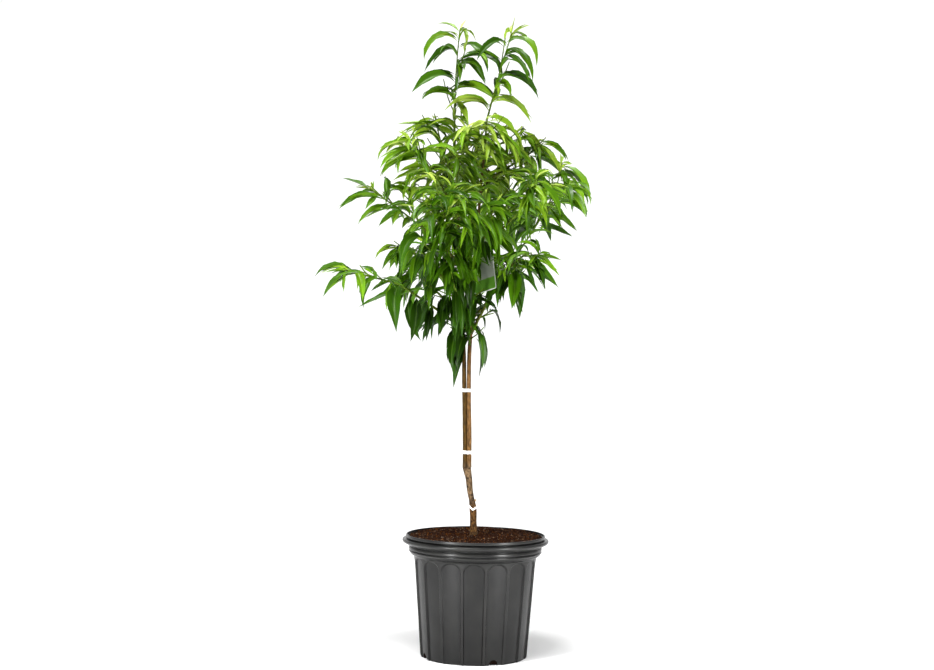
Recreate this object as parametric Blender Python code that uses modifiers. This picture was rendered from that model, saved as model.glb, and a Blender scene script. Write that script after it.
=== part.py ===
"""Young nectarine tree in a fluted nursery pot, about 1.29 m tall.

Metres, +Z up. The origin is the middle of the pot's flat underside, and -Y is the front.
The trunk stands on the potting mix, forks low down into two upright leaders that are tied
together, and the leaders carry boughs, which carry leafy shoots. Directions are given as a
heading (degrees round from +X, so 90 is the back) and a rise (degrees above level).
"""

import math
import random
from collections import namedtuple

import bmesh
import bpy
from mathutils import Matrix, Vector
from mathutils.bvhtree import BVHTree

MM = 0.001
GAP = 0.3 * MM  # between solids that touch

# Pot: a blow-moulded nursery pot, 280 mm across its rim
POT_HEIGHT = 246.7 * MM
RIM_RADIUS = 140.3 * MM
RIM_WALL = 3.5 * MM
LIP_HEIGHT = 6.7 * MM
GROOVE_DEPTH = 1.4 * MM
GROOVE_HEIGHT = 3.0 * MM
FLANGE_RADIUS = 147.5 * MM
FLANGE_HEIGHT = 10.2 * MM
FLANGE_ROUND = 1.7 * MM
NECK_RADIUS = 133.2 * MM
NECK_HEIGHT = 11.0 * MM
BEAD_DEPTH = 1.4 * MM
STEP_HEIGHT = 5.5 * MM
FLUTE_TOP = 200.0 * MM
ARCH_BELOW = 2.5 * MM  # the arches stop this far under the body's top edge
FOOT_RADIUS = 108.5 * MM
FLARE = 0.0745  # growth of the body's radius with height
FOOT_ROUND = 5.0 * MM
WALL = 3.6 * MM
FLOOR = 3.0 * MM
FLUTES = 16
FLUTE_DEPTH = 1.8 * MM
RIB_WIDTH = 6.5 * MM
ARCH_HEIGHT = 17.0 * MM
ARCH_STEPS = 6
DRAIN_HEADINGS = (-67.5, 22.5, 112.5, 202.5)
DRAIN_RADIUS = 9.0 * MM
DRAIN_CENTRE = 2.4 * MM
TURN_STEPS = 32

# Potting mix: a low dome that fills the pot almost to the rim
MIX_EDGE = 242.5 * MM
MIX_TOP = 245.5 * MM
MIX_FLAT_RADIUS = 40.0 * MM
MIX_SHOULDER = 237.5 * MM

# Trunk: (distance right, height above the mix, radius) up the rootstock, graft and scion
TRUNK_FOOT = MIX_TOP + GAP
TRUNK_ROUTE = (
    (-3.8, 0.0, 8.6),
    (-4.2, 6.0, 7.0),
    (-4.8, 24.0, 6.3),
    (-5.2, 46.0, 6.8),
    (-6.4, 57.0, 7.2),
    (-9.4, 72.0, 5.2),
    (-13.2, 90.0, 5.6),
    (-15.8, 116.0, 6.2),
    (-18.0, 127.0, 7.7),
    (-19.6, 136.0, 8.6),
)
FORK_DEPTH_SHARE = 0.8  # the fork is this much thinner from front to back
HEEL_HEIGHT = 63.0 * MM  # the cut-back heel of the rootstock beside the graft
HEEL_LENGTH = 13.0 * MM
HEEL_RADIUS = 2.6 * MM

# Leaders: (right, back, height above the fork) through the crown to their top shoots
FORK_GAP = GAP
LEADER_LEFT_ROUTE = (
    (-24.4, 1.5, 0.0),
    (-24.9, 1.0, 48.0),
    (-28.6, 1.0, 169.0),
    (-29.6, 3.0, 226.0),
    (-33.0, 6.0, 280.0),
    (-40.7, 14.0, 419.0),
    (-54.5, 25.0, 641.0),
)
LEADER_RIGHT_ROUTE = (
    (-15.2, -1.5, 0.0),
    (-15.4, -1.5, 48.0),
    (-18.4, -1.0, 169.0),
    (-18.6, -3.0, 226.0),
    (-16.2, -6.0, 284.0),
    (-10.3, -15.0, 419.0),
    (9.2, -25.0, 703.0),
)
LEADER_FOOT_RADIUS = 4.3 * MM
LEADER_TIP_RADIUS = 1.9 * MM

# Tape ties: their height above the fork, how far they stand out and how tall they are
TIE_UPPER = 156.0 * MM
TIE_MIDDLE = 30.5 * MM
TIE_LOWER = -79.0 * MM
TIE_HEIGHT = 6.8 * MM
TIE_LOWER_HEIGHT = 4.6 * MM
TIE_LOWER_TILT = 17.0
TIE_WRAP = 1.5 * MM
TIE_STEPS = 5

# Tag: a plain card that hangs from the right leader by a looped strap
TAG_WIDTH = 52.0 * MM
TAG_HEIGHT = 74.0 * MM
TAG_THICKNESS = 0.8 * MM
TAG_CENTRE = Vector((0.009, -0.066, 0.763))
TAG_ROLL = 21.0
TAG_YAW = 12.0
TAG_LOOP_SHARE = 0.590
TAG_STRAP_RADIUS = 1.3 * MM
TAG_LOOP_WRAP = 1.6 * MM

Bough = namedtuple("Bough", "name carrier share heading rise turn lift length")
BOUGHS = (
    Bough("low_left", "leader_left", 0.435, 227, 29, -23, 0, 180),
    Bough("low_right", "leader_right", 0.380, 321, 60, 22, -4, 184),
    Bough("right_spur", "bough_low_right", 0.85, 293, 19, 20, 12, 60),
    Bough("right_front", "leader_right", 0.606, 294, 22, 18, 13, 176),
    Bough("mid_left", "leader_left", 0.638, 164, 47, -10, -12, 136),
    Bough("left_spur", "bough_mid_left", 0.80, 173, 52, 18, 13, 37),
    Bough("high_left", "leader_left", 0.787, 259, 27, -39, 23, 133),
    Bough("front_centre", "leader_left", 0.527, 251, 27, -1, 23, 150),
    Bough("right_high", "leader_right", 0.797, 58, 35, -32, -7, 127),
    Bough("left_low", "leader_left", 0.535, 130, 36, 3, -5, 128),
    Bough("back_low_left", "leader_left", 0.470, 114, 25, 10, 0, 167),
    Bough("back_low_right", "leader_right", 0.425, 71, 18, -10, 20, 171),
    Bough("back_mid", "leader_left", 0.608, 90, 35, -5, 0, 155),
    Bough("back_mid_left", "leader_left", 0.685, 114, 35, 5, -3, 142),
    Bough("back_mid_right", "leader_right", 0.625, 76, 26, -23, 6, 162),
)
BOUGH_FOOT_RADIUS = 3.3 * MM
BOUGH_TIP_RADIUS = 2.0 * MM
SPUR_FOOT_RADIUS = 2.3 * MM

# Leafy shoots. One that leaves a bough's tip goes on in the bough's direction. A leaf's
# length is in millimetres, and hang runs from 0, arched, to 1, hung straight down.
Shoot = namedtuple(
    "Shoot", "name carrier share heading rise turn lift length twigs leaves leaf hang seed"
)
ON = None
SHOOTS = (
    Shoot("top_left", "leader_left", 1, ON, ON, 60, 8, 247, 0, 15, 108, 0.0, 486),
    Shoot("top_right", "leader_right", 1, ON, ON, 6, -25, 174, 0, 13, 108, 0.0, 1364),
    Shoot("low_left", "bough_low_left", 1, ON, ON, -13, -26, 118, 2, 15, 92, 0.3, 212),
    Shoot("right_outer", "bough_low_right", 1, ON, ON, 97, 5, 229, 3, 22, 108, 0.1, 232),
    Shoot("right_low", "bough_right_spur", 1, ON, ON, 0, -35, 56, 1, 10, 96, 0.3, 120),
    Shoot("right_front", "bough_right_front", 1, ON, ON, 5, 42, 79, 2, 13, 108, 0.0, 52),
    Shoot("far_left", "bough_mid_left", 1, ON, ON, 39, -3, 117, 1, 13, 104, 0.0, 866),
    Shoot("left_up", "bough_left_spur", 1, ON, ON, 65, -4, 66, 1, 9, 96, 0.0, 257),
    Shoot("high_left", "bough_high_left", 1, ON, ON, -20, -2, 86, 2, 14, 106, 0.0, 46),
    Shoot("left_top", "leader_left", 0.875, 133, 59, 4, 15, 176, 1, 12, 104, 0.0, 206),
    Shoot("front_left", "leader_left", 0.700, 259, 14, -15, 52, 208, 2, 15, 110, 0.1, 145),
    Shoot("front_centre", "bough_front_centre", 1, ON, ON, 81, 25, 143, 2, 15, 110, 0.1, 245),
    Shoot("right_centre", "leader_right", 0.667, 304, 42, 19, 6, 142, 1, 12, 106, 0.0, 273),
    Shoot("front_top_left", "leader_left", 0.890, 267, 22, 38, 54, 153, 1, 12, 106, 0.0, 299),
    Shoot("front_top_right", "leader_right", 0.885, 270, 38, 11, 18, 100, 1, 11, 106, 0.0, 157),
    Shoot("right_top", "leader_right", 0.907, 67, 12, -31, 45, 150, 1, 11, 104, 0.0, 60),
    Shoot("right_high", "bough_right_high", 1, ON, ON, -31, 33, 63, 2, 12, 106, 0.0, 2),
    Shoot("left_low", "bough_left_low", 1, ON, ON, 47, 0, 89, 1, 11, 106, 0.1, 294),
    Shoot("left_mid", "leader_left", 0.575, 255, 22, -37, 15, 155, 2, 14, 112, 0.4, 150),
    Shoot("skirt_left", "leader_left", 0.408, 248, 35, -18, 5, 66, 1, 9, 106, 0.9, 17),
    Shoot("skirt_front", "leader_right", 0.350, 271, 34, -30, 1, 70, 1, 8, 106, 1.0, 140),
    Shoot("skirt_right", "leader_right", 0.418, 350, 30, -11, -17, 50, 0, 6, 104, 1.0, 224),
    Shoot("right_skirt", "bough_low_right", 0.58, 308, 25, 8, 23, 80, 1, 10, 102, 0.8, 161),
    Shoot("back_low_left", "bough_back_low_left", 1, ON, ON, 5, 30, 80, 2, 14, 104, 0.3, 175),
    Shoot("back_low_right", "bough_back_low_right", 1, ON, ON, -10, 0, 73, 2, 13, 104, 0.3, 23),
    Shoot("back_mid", "bough_back_mid", 1, ON, ON, 7, 15, 79, 2, 13, 110, 0.1, 292),
    Shoot("back_mid_left", "bough_back_mid_left", 1, ON, ON, -6, 11, 70, 2, 12, 108, 0.1, 264),
    Shoot("back_mid_right", "bough_back_mid_right", 1, ON, ON, -5, 19, 67, 2, 12, 108, 0.1, 15),
    Shoot("back_high", "leader_right", 0.770, 92, 25, 6, 36, 166, 2, 14, 106, 0.0, 261),
    Shoot("back_high_left", "leader_left", 0.828, 123, 38, -21, 26, 158, 2, 13, 106, 0.0, 81),
    Shoot("back_high_right", "leader_right", 0.785, 79, 19, -28, 19, 179, 2, 14, 106, 0.0, 283),
    Shoot("front_low", "leader_left", 0.480, 264, 18, -5, 22, 172, 1, 12, 108, 0.6, 58),
    Shoot("front_right", "leader_right", 0.645, 286, 17, -2, 20, 157, 2, 13, 110, 0.1, 141),
)
SHOOT_FOOT_RADIUS = 2.5 * MM
SHOOT_ON_BOUGH_RADIUS = 2.0 * MM
SHOOT_TIP_RADIUS = 1.3 * MM
TWIG_SHARE = 0.62  # a side twig's length as a share of its stem's
TWIG_SPREAD = 48.0
LEAF_SPIRAL = 137.5  # degrees from each leaf to the next
LEAF_SPREAD = 56.0  # between a full-grown leaf and its stem
YOUNG_SPREAD = 24.0
YOUNG_FROM = 0.72  # share of the shoot past which leaves are young
YOUNG_SIZE = 0.42
LEAF_END_RISE = -68.0
LEAF_WIDTH_SHARE = 0.235
LEAF_FOLD = 34.0
LEAF_THICKNESS_SHARE = 0.014
LEAF_ROOT = 1.6 * MM
LEAF_CLEARANCE = 0.7 * MM
SMALL_LEAF = 62.0 * MM  # a shorter leaf has one ring in place of two
ROOT_FACES = 6
POT_WELD = 0.05 * MM
WELD = 0.002 * MM  # corners nearer than this become one
FLAT_ANGLE = math.radians(0.2)
LIMB_STEPS = 4
TWIG_STEPS = 2
LIMB_SIDES = 5
LEADER_SIDES = 8
TWIG_SIDES = 3

COLOURS = {
    "pot": ((0.045, 0.046, 0.047), 0.45),
    "mix": ((0.035, 0.018, 0.012), 0.95),
    "bark": ((0.26, 0.15, 0.07), 0.8),
    "green_bark": ((0.13, 0.16, 0.03), 0.7),
    "leaf": ((0.07, 0.20, 0.012), 0.45),
    "tape": ((0.85, 0.85, 0.82), 0.6),
    "tag": ((0.80, 0.84, 0.76), 0.5),
}


def clear_scene():
    for thing in list(bpy.data.objects):
        bpy.data.objects.remove(thing, do_unlink=True)


def new_collection(name):
    group = bpy.data.collections.new(name)
    bpy.context.scene.collection.children.link(group)
    return group


def material(name, colour, roughness):
    """One Principled material, with a colour in linear light."""
    finish = bpy.data.materials.new(name)
    finish.use_nodes = True
    shader = finish.node_tree.nodes["Principled BSDF"]
    shader.inputs["Base Color"].default_value = (*colour, 1.0)
    shader.inputs["Roughness"].default_value = roughness
    shader.inputs["Metallic"].default_value = 0.0
    return finish


def add_object(name, data, group):
    thing = bpy.data.objects.new(name, data)
    group.objects.link(thing)
    return thing


def finish_part(thing, kind):
    """Gives a part its own copy of a finish."""
    colour, roughness = COLOURS[kind]
    thing.data.materials.clear()
    thing.data.materials.append(material(f"{thing.name}_{kind}", colour, roughness))
    return thing


def as_cutter(thing):
    thing.hide_render = True
    thing.display_type = "WIRE"
    return thing


def remove_object(thing):
    data = thing.data
    bpy.data.objects.remove(thing, do_unlink=True)
    if isinstance(data, bpy.types.Mesh):
        bpy.data.meshes.remove(data)
    else:
        bpy.data.curves.remove(data)


def evaluated_mesh(thing):
    depsgraph = bpy.context.evaluated_depsgraph_get()
    return bpy.data.meshes.new_from_object(thing.evaluated_get(depsgraph))


def curve_to_mesh(thing, group):
    """Replaces a curve object with a mesh object of the same place, its caps welded on."""
    mesh = evaluated_mesh(thing)
    edit = bmesh.new()
    edit.from_mesh(mesh)
    bmesh.ops.remove_doubles(edit, verts=edit.verts, dist=0.01 * MM)
    bmesh.ops.triangulate(edit, faces=edit.faces)
    bmesh.ops.recalc_face_normals(edit, faces=edit.faces)
    edit.to_mesh(mesh)
    edit.free()
    name, place = thing.name, thing.matrix_world.copy()
    remove_object(thing)
    solid = add_object(name, mesh, group)
    solid.matrix_world = place
    return solid


def polygon_curve(sides, group):
    """A closed outline of unit radius that tubes take their section from."""
    data = bpy.data.curves.new(f"section_{sides}", "CURVE")
    data.dimensions = "2D"
    spline = data.splines.new("POLY")
    spline.points.add(sides - 1)
    for i in range(sides):
        angle = math.tau * i / sides
        spline.points[i].co = (math.cos(angle), math.sin(angle), 0.0, 1.0)
    spline.use_cyclic_u = True
    return as_cutter(add_object(data.name, data, group))


def tube(name, points, radii, section, group):
    """A tapering limb: a curve through the points, with a radius at each."""
    data = bpy.data.curves.new(name, "CURVE")
    data.dimensions = "3D"
    data.bevel_mode = "OBJECT"
    data.bevel_object = section
    data.use_fill_caps = True
    spline = data.splines.new("POLY")
    spline.points.add(len(points) - 1)
    for knot, point, radius in zip(spline.points, points, radii):
        knot.co = (*point, 1.0)
        knot.radius = radius
    return curve_to_mesh(add_object(name, data, group), group)


def flat_outline(name, points, thickness, group):
    """A flat shape in the XY plane, thickness deep along Z."""
    data = bpy.data.curves.new(name, "CURVE")
    data.dimensions = "2D"
    data.fill_mode = "BOTH"
    data.extrude = thickness / 2
    spline = data.splines.new("POLY")
    spline.points.add(len(points) - 1)
    for knot, (x, y) in zip(spline.points, points):
        knot.co = (x, y, 0.0, 1.0)
    spline.use_cyclic_u = True
    return curve_to_mesh(add_object(name, data, group), group)


def turned(name, profile, group):
    """A turned shape from (radius, height) pairs that run down its outer side."""
    mesh = bpy.data.meshes.new(name)
    edges = [(i, i + 1) for i in range(len(profile) - 1)]
    mesh.from_pydata([(radius, 0.0, height) for radius, height in profile], edges, [])
    thing = add_object(name, mesh, group)
    screw = thing.modifiers.new("turn", "SCREW")
    screw.angle = math.tau
    screw.steps = TURN_STEPS
    screw.render_steps = TURN_STEPS
    screw.use_merge_vertices = True
    screw.merge_threshold = 0.01 * MM
    return thing


def boolean(thing, operation, cutter=None, collection=None, solver="EXACT"):
    step = thing.modifiers.new(operation.lower(), "BOOLEAN")
    step.operation = operation
    step.solver = solver
    if collection:
        step.operand_type = "COLLECTION"
        step.collection = collection
    else:
        step.object = cutter
    return step


def apply_modifiers(thing):
    mesh = evaluated_mesh(thing)
    old = thing.data
    thing.modifiers.clear()
    thing.data = mesh
    bpy.data.meshes.remove(old)


def body_radius(height):
    return FOOT_RADIUS + FLARE * height


def pot_profile():
    """Down the inside of the wall is last: axis, floor, inner wall, rim, outer wall, foot."""
    lip_foot = POT_HEIGHT - LIP_HEIGHT
    flange_top = lip_foot - GROOVE_HEIGHT
    flange_foot = flange_top - FLANGE_HEIGHT
    neck_top = flange_foot - 7.5 * MM
    neck_foot = neck_top - NECK_HEIGHT
    groove = RIM_RADIUS - GROOVE_DEPTH
    inner_rim = RIM_RADIUS - RIM_WALL
    inside = [
        (0.0, FLOOR),
        (body_radius(FLOOR) - WALL, FLOOR),
        (body_radius(FLUTE_TOP) - WALL, FLUTE_TOP),
        (NECK_RADIUS - 4.2 * MM, flange_foot),
        (inner_rim, MIX_SHOULDER),
        (inner_rim, POT_HEIGHT),
    ]
    rim = [
        (RIM_RADIUS, POT_HEIGHT),
        (RIM_RADIUS, lip_foot),
        (groove, lip_foot - GROOVE_HEIGHT / 2),
        (FLANGE_RADIUS - FLANGE_ROUND, flange_top),
        (FLANGE_RADIUS, flange_top - FLANGE_ROUND),
        (FLANGE_RADIUS, flange_foot + FLANGE_ROUND),
        (FLANGE_RADIUS - FLANGE_ROUND, flange_foot),
    ]
    neck = [
        (NECK_RADIUS, neck_top),
        (NECK_RADIUS - BEAD_DEPTH, neck_top - NECK_HEIGHT * 0.3),
        (NECK_RADIUS, neck_top - NECK_HEIGHT * 0.6),
        (NECK_RADIUS - BEAD_DEPTH, neck_foot),
        (body_radius(FLUTE_TOP) + FLUTE_DEPTH, neck_foot - STEP_HEIGHT),
        (body_radius(FLUTE_TOP), FLUTE_TOP),
    ]
    foot = [
        (body_radius(FOOT_ROUND * 1.6), FOOT_ROUND * 1.6),
        (body_radius(0.0) - FOOT_ROUND * 0.25, FOOT_ROUND * 0.45),
        (body_radius(0.0) - FOOT_ROUND * 0.8, 0.0),
        (0.0, 0.0),
    ]
    return inside + rim + neck + foot


def flute_outline():
    """A tall panel with an arched top, narrowing towards the foot: (across, up) pairs."""
    pitch = 2 * math.sin(math.pi / FLUTES)
    low = -6.0 * MM
    spring = FLUTE_TOP - ARCH_BELOW - ARCH_HEIGHT
    half_low = (body_radius(low) * pitch - RIB_WIDTH) / 2
    half_high = (body_radius(spring) * pitch - RIB_WIDTH) / 2
    arch = []
    for i in range(ARCH_STEPS + 1):
        angle = math.pi * i / ARCH_STEPS
        arch.append((half_high * math.cos(angle), spring + ARCH_HEIGHT * math.sin(angle)))
    return [(-half_low, low), (half_low, low)] + arch


def make_flute_cutter(group):
    """Arched slabs all round the wall, trimmed at the back to the cone of the flutes' floors."""
    slab = flat_outline("slab", flute_outline(), 24.0 * MM, group)
    slab.data.transform(Matrix.Rotation(math.pi / 2, 4, "X"))
    slab.data.transform(Matrix.Rotation(math.atan(FLARE), 4, "X"))
    slab.data.transform(Matrix.Translation((0.0, -(FOOT_RADIUS + 5.0 * MM), 0.0)))
    edit = bmesh.new()
    for i in range(FLUTES):
        ring = bmesh.new()
        ring.from_mesh(slab.data)
        ring.transform(Matrix.Rotation(math.tau * i / FLUTES, 4, "Z"))
        copy = bpy.data.meshes.new("slab_copy")
        ring.to_mesh(copy)
        ring.free()
        edit.from_mesh(copy)
        bpy.data.meshes.remove(copy)
    mesh = bpy.data.meshes.new("flute_cutter")
    edit.to_mesh(mesh)
    edit.free()
    remove_object(slab)
    cutter = add_object("flute_cutter", mesh, group)
    low, high = -20.0 * MM, FLUTE_TOP + 20.0 * MM
    profile = [(body_radius(high) - FLUTE_DEPTH, high), (body_radius(low) - FLUTE_DEPTH, low)]
    core = turned("flute_floor", [(0.0, high)] + profile + [(0.0, low)], group)
    boolean(cutter, "DIFFERENCE", core)
    apply_modifiers(cutter)
    remove_object(core)
    return as_cutter(cutter)


def make_drain_cutter(group):
    """Four level cylinders that open the foot of the wall and the edge of the floor."""
    edit = bmesh.new()
    for heading in DRAIN_HEADINGS:
        turn = Matrix.Rotation(math.radians(heading), 4, "Z")
        push = Matrix.Translation((0.0, -FOOT_RADIUS, DRAIN_CENTRE))
        tip = Matrix.Rotation(math.pi / 2, 4, "X")
        bmesh.ops.create_cone(
            edit, cap_ends=True, segments=16, radius1=DRAIN_RADIUS, radius2=DRAIN_RADIUS,
            depth=26.0 * MM, matrix=turn @ push @ tip,
        )
    mesh = bpy.data.meshes.new("drain_cutter")
    edit.to_mesh(mesh)
    edit.free()
    return as_cutter(add_object("drain_cutter", mesh, group))


def make_pot(parts, cutters):
    pot = turned("pot", pot_profile(), parts)
    boolean(pot, "DIFFERENCE", make_flute_cutter(cutters))
    boolean(pot, "DIFFERENCE", make_drain_cutter(cutters))
    apply_modifiers(pot)
    keep_main_body(pot, POT_WELD)
    return finish_part(pot, "pot")


def make_mix(parts):
    """The potting mix fills the pot, clear of its wall and floor."""
    edge = RIM_RADIUS - RIM_WALL - GAP
    flange_foot = POT_HEIGHT - LIP_HEIGHT - GROOVE_HEIGHT - FLANGE_HEIGHT
    profile = [
        (0.0, MIX_TOP),
        (MIX_FLAT_RADIUS, MIX_TOP),
        (edge * 0.75, (MIX_TOP + MIX_EDGE) / 2 + 0.4 * MM),
        (edge, MIX_EDGE),
        (edge, MIX_SHOULDER + GAP),
        (NECK_RADIUS - 4.2 * MM - GAP, flange_foot + GAP),
        (body_radius(FLUTE_TOP) - WALL - GAP, FLUTE_TOP),
        (body_radius(FLOOR) - WALL - GAP, FLOOR + GAP),
        (0.0, FLOOR + GAP),
    ]
    return finish_part(turned("potting_mix", profile, parts), "mix")


def lengths_along(points):
    reach = [0.0]
    for a, b in zip(points, points[1:]):
        reach.append(reach[-1] + (b - a).length)
    return reach


def at_share(points, share):
    """The point and the direction at a share of a route's length."""
    reach = lengths_along(points)
    target = share * reach[-1]
    for i in range(len(points) - 1):
        if reach[i + 1] >= target or i == len(points) - 2:
            step = points[i + 1] - points[i]
            part = (target - reach[i]) / step.length
            return points[i] + step * part, step.normalized()


def heading_and_rise(direction):
    return (
        math.degrees(math.atan2(direction.y, direction.x)),
        math.degrees(math.asin(max(-1.0, min(1.0, direction.z)))),
    )


def pointing(heading, rise):
    level = math.cos(math.radians(rise))
    return Vector((
        level * math.cos(math.radians(heading)),
        level * math.sin(math.radians(heading)),
        math.sin(math.radians(rise)),
    ))


def grow(start, heading, rise, turn, lift, length, steps=LIMB_STEPS):
    """A limb's route: heading and rise change evenly along it, by turn and lift in all."""
    points = [Vector(start)]
    for i in range(steps):
        share = (i + 0.5) / steps
        step = pointing(heading + turn * share, rise + lift * share) * (length / steps)
        points.append(points[-1] + step)
    return points


def taper(points, foot, tip):
    """A radius at each point, which falls evenly with the distance from the foot."""
    reach = lengths_along(points)
    return [foot + (tip - foot) * r / reach[-1] for r in reach]


class Tree:
    """The routes and radii of the limbs that carry others, by name."""

    def __init__(self):
        self.routes = {}
        self.radii = {}

    def add(self, name, points, radii):
        self.routes[name] = points
        self.radii[name] = radii


def cut_clear(thing, tree, carrier, section, cutters):
    """Seats a limb's foot on its carrier: what lies inside the carrier or nearer than GAP goes."""
    wider = [radius + GAP / math.cos(math.pi / LIMB_SIDES) for radius in tree.radii[carrier]]
    cutter = tube("seat_cutter", tree.routes[carrier], wider, section, cutters)
    boolean(thing, "DIFFERENCE", cutter)
    apply_modifiers(thing)
    remove_object(cutter)
    keep_main_body(thing)


def make_trunk(tree, sections, parts, cutters):
    points = [Vector((x * MM, 0.0, TRUNK_FOOT + z * MM)) for x, z, _ in TRUNK_ROUTE]
    radii = [radius * MM for _, _, radius in TRUNK_ROUTE]
    trunk = tube("trunk", points, radii, sections[10], parts)
    top, foot = points[-1].z, points[0].z
    for corner in trunk.data.vertices:
        share = max(0.0, (corner.co.z - (top - 20.0 * MM)) / (20.0 * MM))
        corner.co.y *= 1.0 + (FORK_DEPTH_SHARE - 1.0) * min(1.0, share)
        if abs(corner.co.z - top) < 3.0 * MM and share > 0.8:
            corner.co.z = top
        if corner.co.z < foot + 1.0 * MM:
            corner.co.z = foot
    heel_foot = at_share(points, HEEL_HEIGHT / (top - foot))[0]
    heel = grow(heel_foot, 0.0, 18.0, 0.0, 20.0, HEEL_LENGTH, 2)
    girth = [HEEL_RADIUS * 1.5, HEEL_RADIUS * 1.1, HEEL_RADIUS]
    stub = tube("heel", heel, girth, sections[LIMB_SIDES], cutters)
    boolean(trunk, "UNION", stub)
    apply_modifiers(trunk)
    remove_object(stub)
    tree.add("trunk", points, radii)
    return finish_part(trunk, "bark")


def make_leader(name, route, tree, sections, parts):
    fork = tree.routes["trunk"][-1].z + FORK_GAP
    points = [Vector((x * MM, y * MM, fork + z * MM)) for x, y, z in route]
    radii = taper(points, LEADER_FOOT_RADIUS, LEADER_TIP_RADIUS)
    leader = tube(name, points, radii, sections[LEADER_SIDES], parts)
    for corner in leader.data.vertices:
        if corner.co.z < fork + 1.0 * MM:
            corner.co.z = fork
    tree.add(name, points, radii)
    return finish_part(leader, "bark")


def make_tie(name, height, tree, sections, parts, cutters):
    """A band of tape round both leaders: a rounded slab, cut clear of what it holds."""
    level = tree.routes["trunk"][-1].z + height
    held = []
    for leader in ("leader_left", "leader_right"):
        route = tree.routes[leader]
        share = next(i / 400 for i in range(401) if at_share(route, i / 400)[0].z >= level)
        held.append(at_share(route, share)[0])
    radius = LEADER_FOOT_RADIUS + TIE_WRAP
    along = math.atan2(held[1].y - held[0].y, held[1].x - held[0].x)
    outline = []
    for centre, start in ((held[1], along - math.pi / 2), (held[0], along + math.pi / 2)):
        for i in range(TIE_STEPS + 1):
            angle = start + math.pi * i / TIE_STEPS
            outline.append((centre.x + radius * math.cos(angle), centre.y + radius * math.sin(angle)))
    tie = flat_outline(name, outline, TIE_HEIGHT, parts)
    tie.data.transform(Matrix.Translation((0.0, 0.0, level)))
    for leader in ("leader_left", "leader_right"):
        cut_clear(tie, tree, leader, sections[LEADER_SIDES], cutters)
    return finish_part(tie, "tape")


def make_lower_tie(tree, sections, parts, cutters):
    """The band round the graft, tilted, cut clear of the trunk."""
    route = tree.routes["trunk"]
    level = route[-1].z + TIE_LOWER
    share = next(i / 400 for i in range(401) if at_share(route, i / 400)[0].z >= level)
    centre = at_share(route, share)[0]
    edit = bmesh.new()
    radius = max(r for r in tree.radii["trunk"][3:5]) + TIE_WRAP
    tilt = Matrix.Rotation(math.radians(TIE_LOWER_TILT), 4, "Y")
    bmesh.ops.create_cone(
        edit, cap_ends=True, segments=20, radius1=radius, radius2=radius,
        depth=TIE_LOWER_HEIGHT, matrix=Matrix.Translation(centre) @ tilt,
    )
    mesh = bpy.data.meshes.new("tie_lower")
    edit.to_mesh(mesh)
    edit.free()
    tie = add_object("tie_lower", mesh, parts)
    cut_clear(tie, tree, "trunk", sections[10], cutters)
    return finish_part(tie, "tape")


def make_tag(tree, sections, parts, cutters):
    """A card, a strap from its top edge and a loop round the right leader, in one piece."""
    half, tall, corner = TAG_WIDTH / 2, TAG_HEIGHT / 2, 4.0 * MM
    outline = []
    for x, y, start in ((half, tall, 0), (-half, tall, 90), (-half, -tall, 180), (half, -tall, 270)):
        centre = (x - math.copysign(corner, x), y - math.copysign(corner, y))
        for i in range(4):
            angle = math.radians(start + 30 * i)
            outline.append((centre[0] + corner * math.cos(angle), centre[1] + corner * math.sin(angle)))
    tag = flat_outline("tag", outline, TAG_THICKNESS, parts)
    turn = Matrix.Rotation(math.radians(TAG_YAW), 4, "Z") @ Matrix.Rotation(math.radians(-TAG_ROLL), 4, "Y")
    place = Matrix.Translation(TAG_CENTRE) @ turn @ Matrix.Rotation(math.pi / 2, 4, "X")
    tag.data.transform(place)
    loop_centre, along = at_share(tree.routes["leader_right"], TAG_LOOP_SHARE)
    top_edge = place @ Vector((0.0, tall - 3.0 * MM, 0.0))
    radius = LEADER_FOOT_RADIUS + TAG_LOOP_WRAP
    edit = bmesh.new()
    bmesh.ops.create_cone(
        edit, cap_ends=True, segments=12, radius1=radius, radius2=radius, depth=4.0 * MM,
        matrix=Matrix.Translation(loop_centre) @ along.to_track_quat("Z", "Y").to_matrix().to_4x4(),
    )
    mesh = bpy.data.meshes.new("loop")
    edit.to_mesh(mesh)
    edit.free()
    loop = add_object("loop", mesh, cutters)
    reach = (top_edge - loop_centre).normalized() * (radius - 1.0 * MM)
    strap = tube("strap", [top_edge, loop_centre + reach], [TAG_STRAP_RADIUS] * 2, sections[4], cutters)
    for piece in (strap, loop):
        boolean(tag, "UNION", piece)
        apply_modifiers(tag)
        remove_object(piece)
    cut_clear(tag, tree, "leader_right", sections[LEADER_SIDES], cutters)
    return finish_part(tag, "tag")


def make_bough(row, tree, sections, parts, cutters):
    name = f"bough_{row.name}"
    start = at_share(tree.routes[row.carrier], row.share)[0]
    points = grow(start, row.heading, row.rise, row.turn, row.lift, row.length * MM)
    on_leader = row.carrier.startswith("leader")
    foot = BOUGH_FOOT_RADIUS if on_leader else SPUR_FOOT_RADIUS
    radii = taper(points, foot, BOUGH_TIP_RADIUS)
    bough = tube(name, points, radii, sections[LIMB_SIDES], parts)
    section = sections[LEADER_SIDES if on_leader else LIMB_SIDES]
    cut_clear(bough, tree, row.carrier, section, cutters)
    tree.add(name, points, radii)
    return finish_part(bough, "bark")


def is_closed(mesh):
    edit = bmesh.new()
    edit.from_mesh(mesh)
    closed = all(len(edge.link_faces) == 2 for edge in edit.edges) and len(edit.faces) > 3
    edit.free()
    return closed


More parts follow.
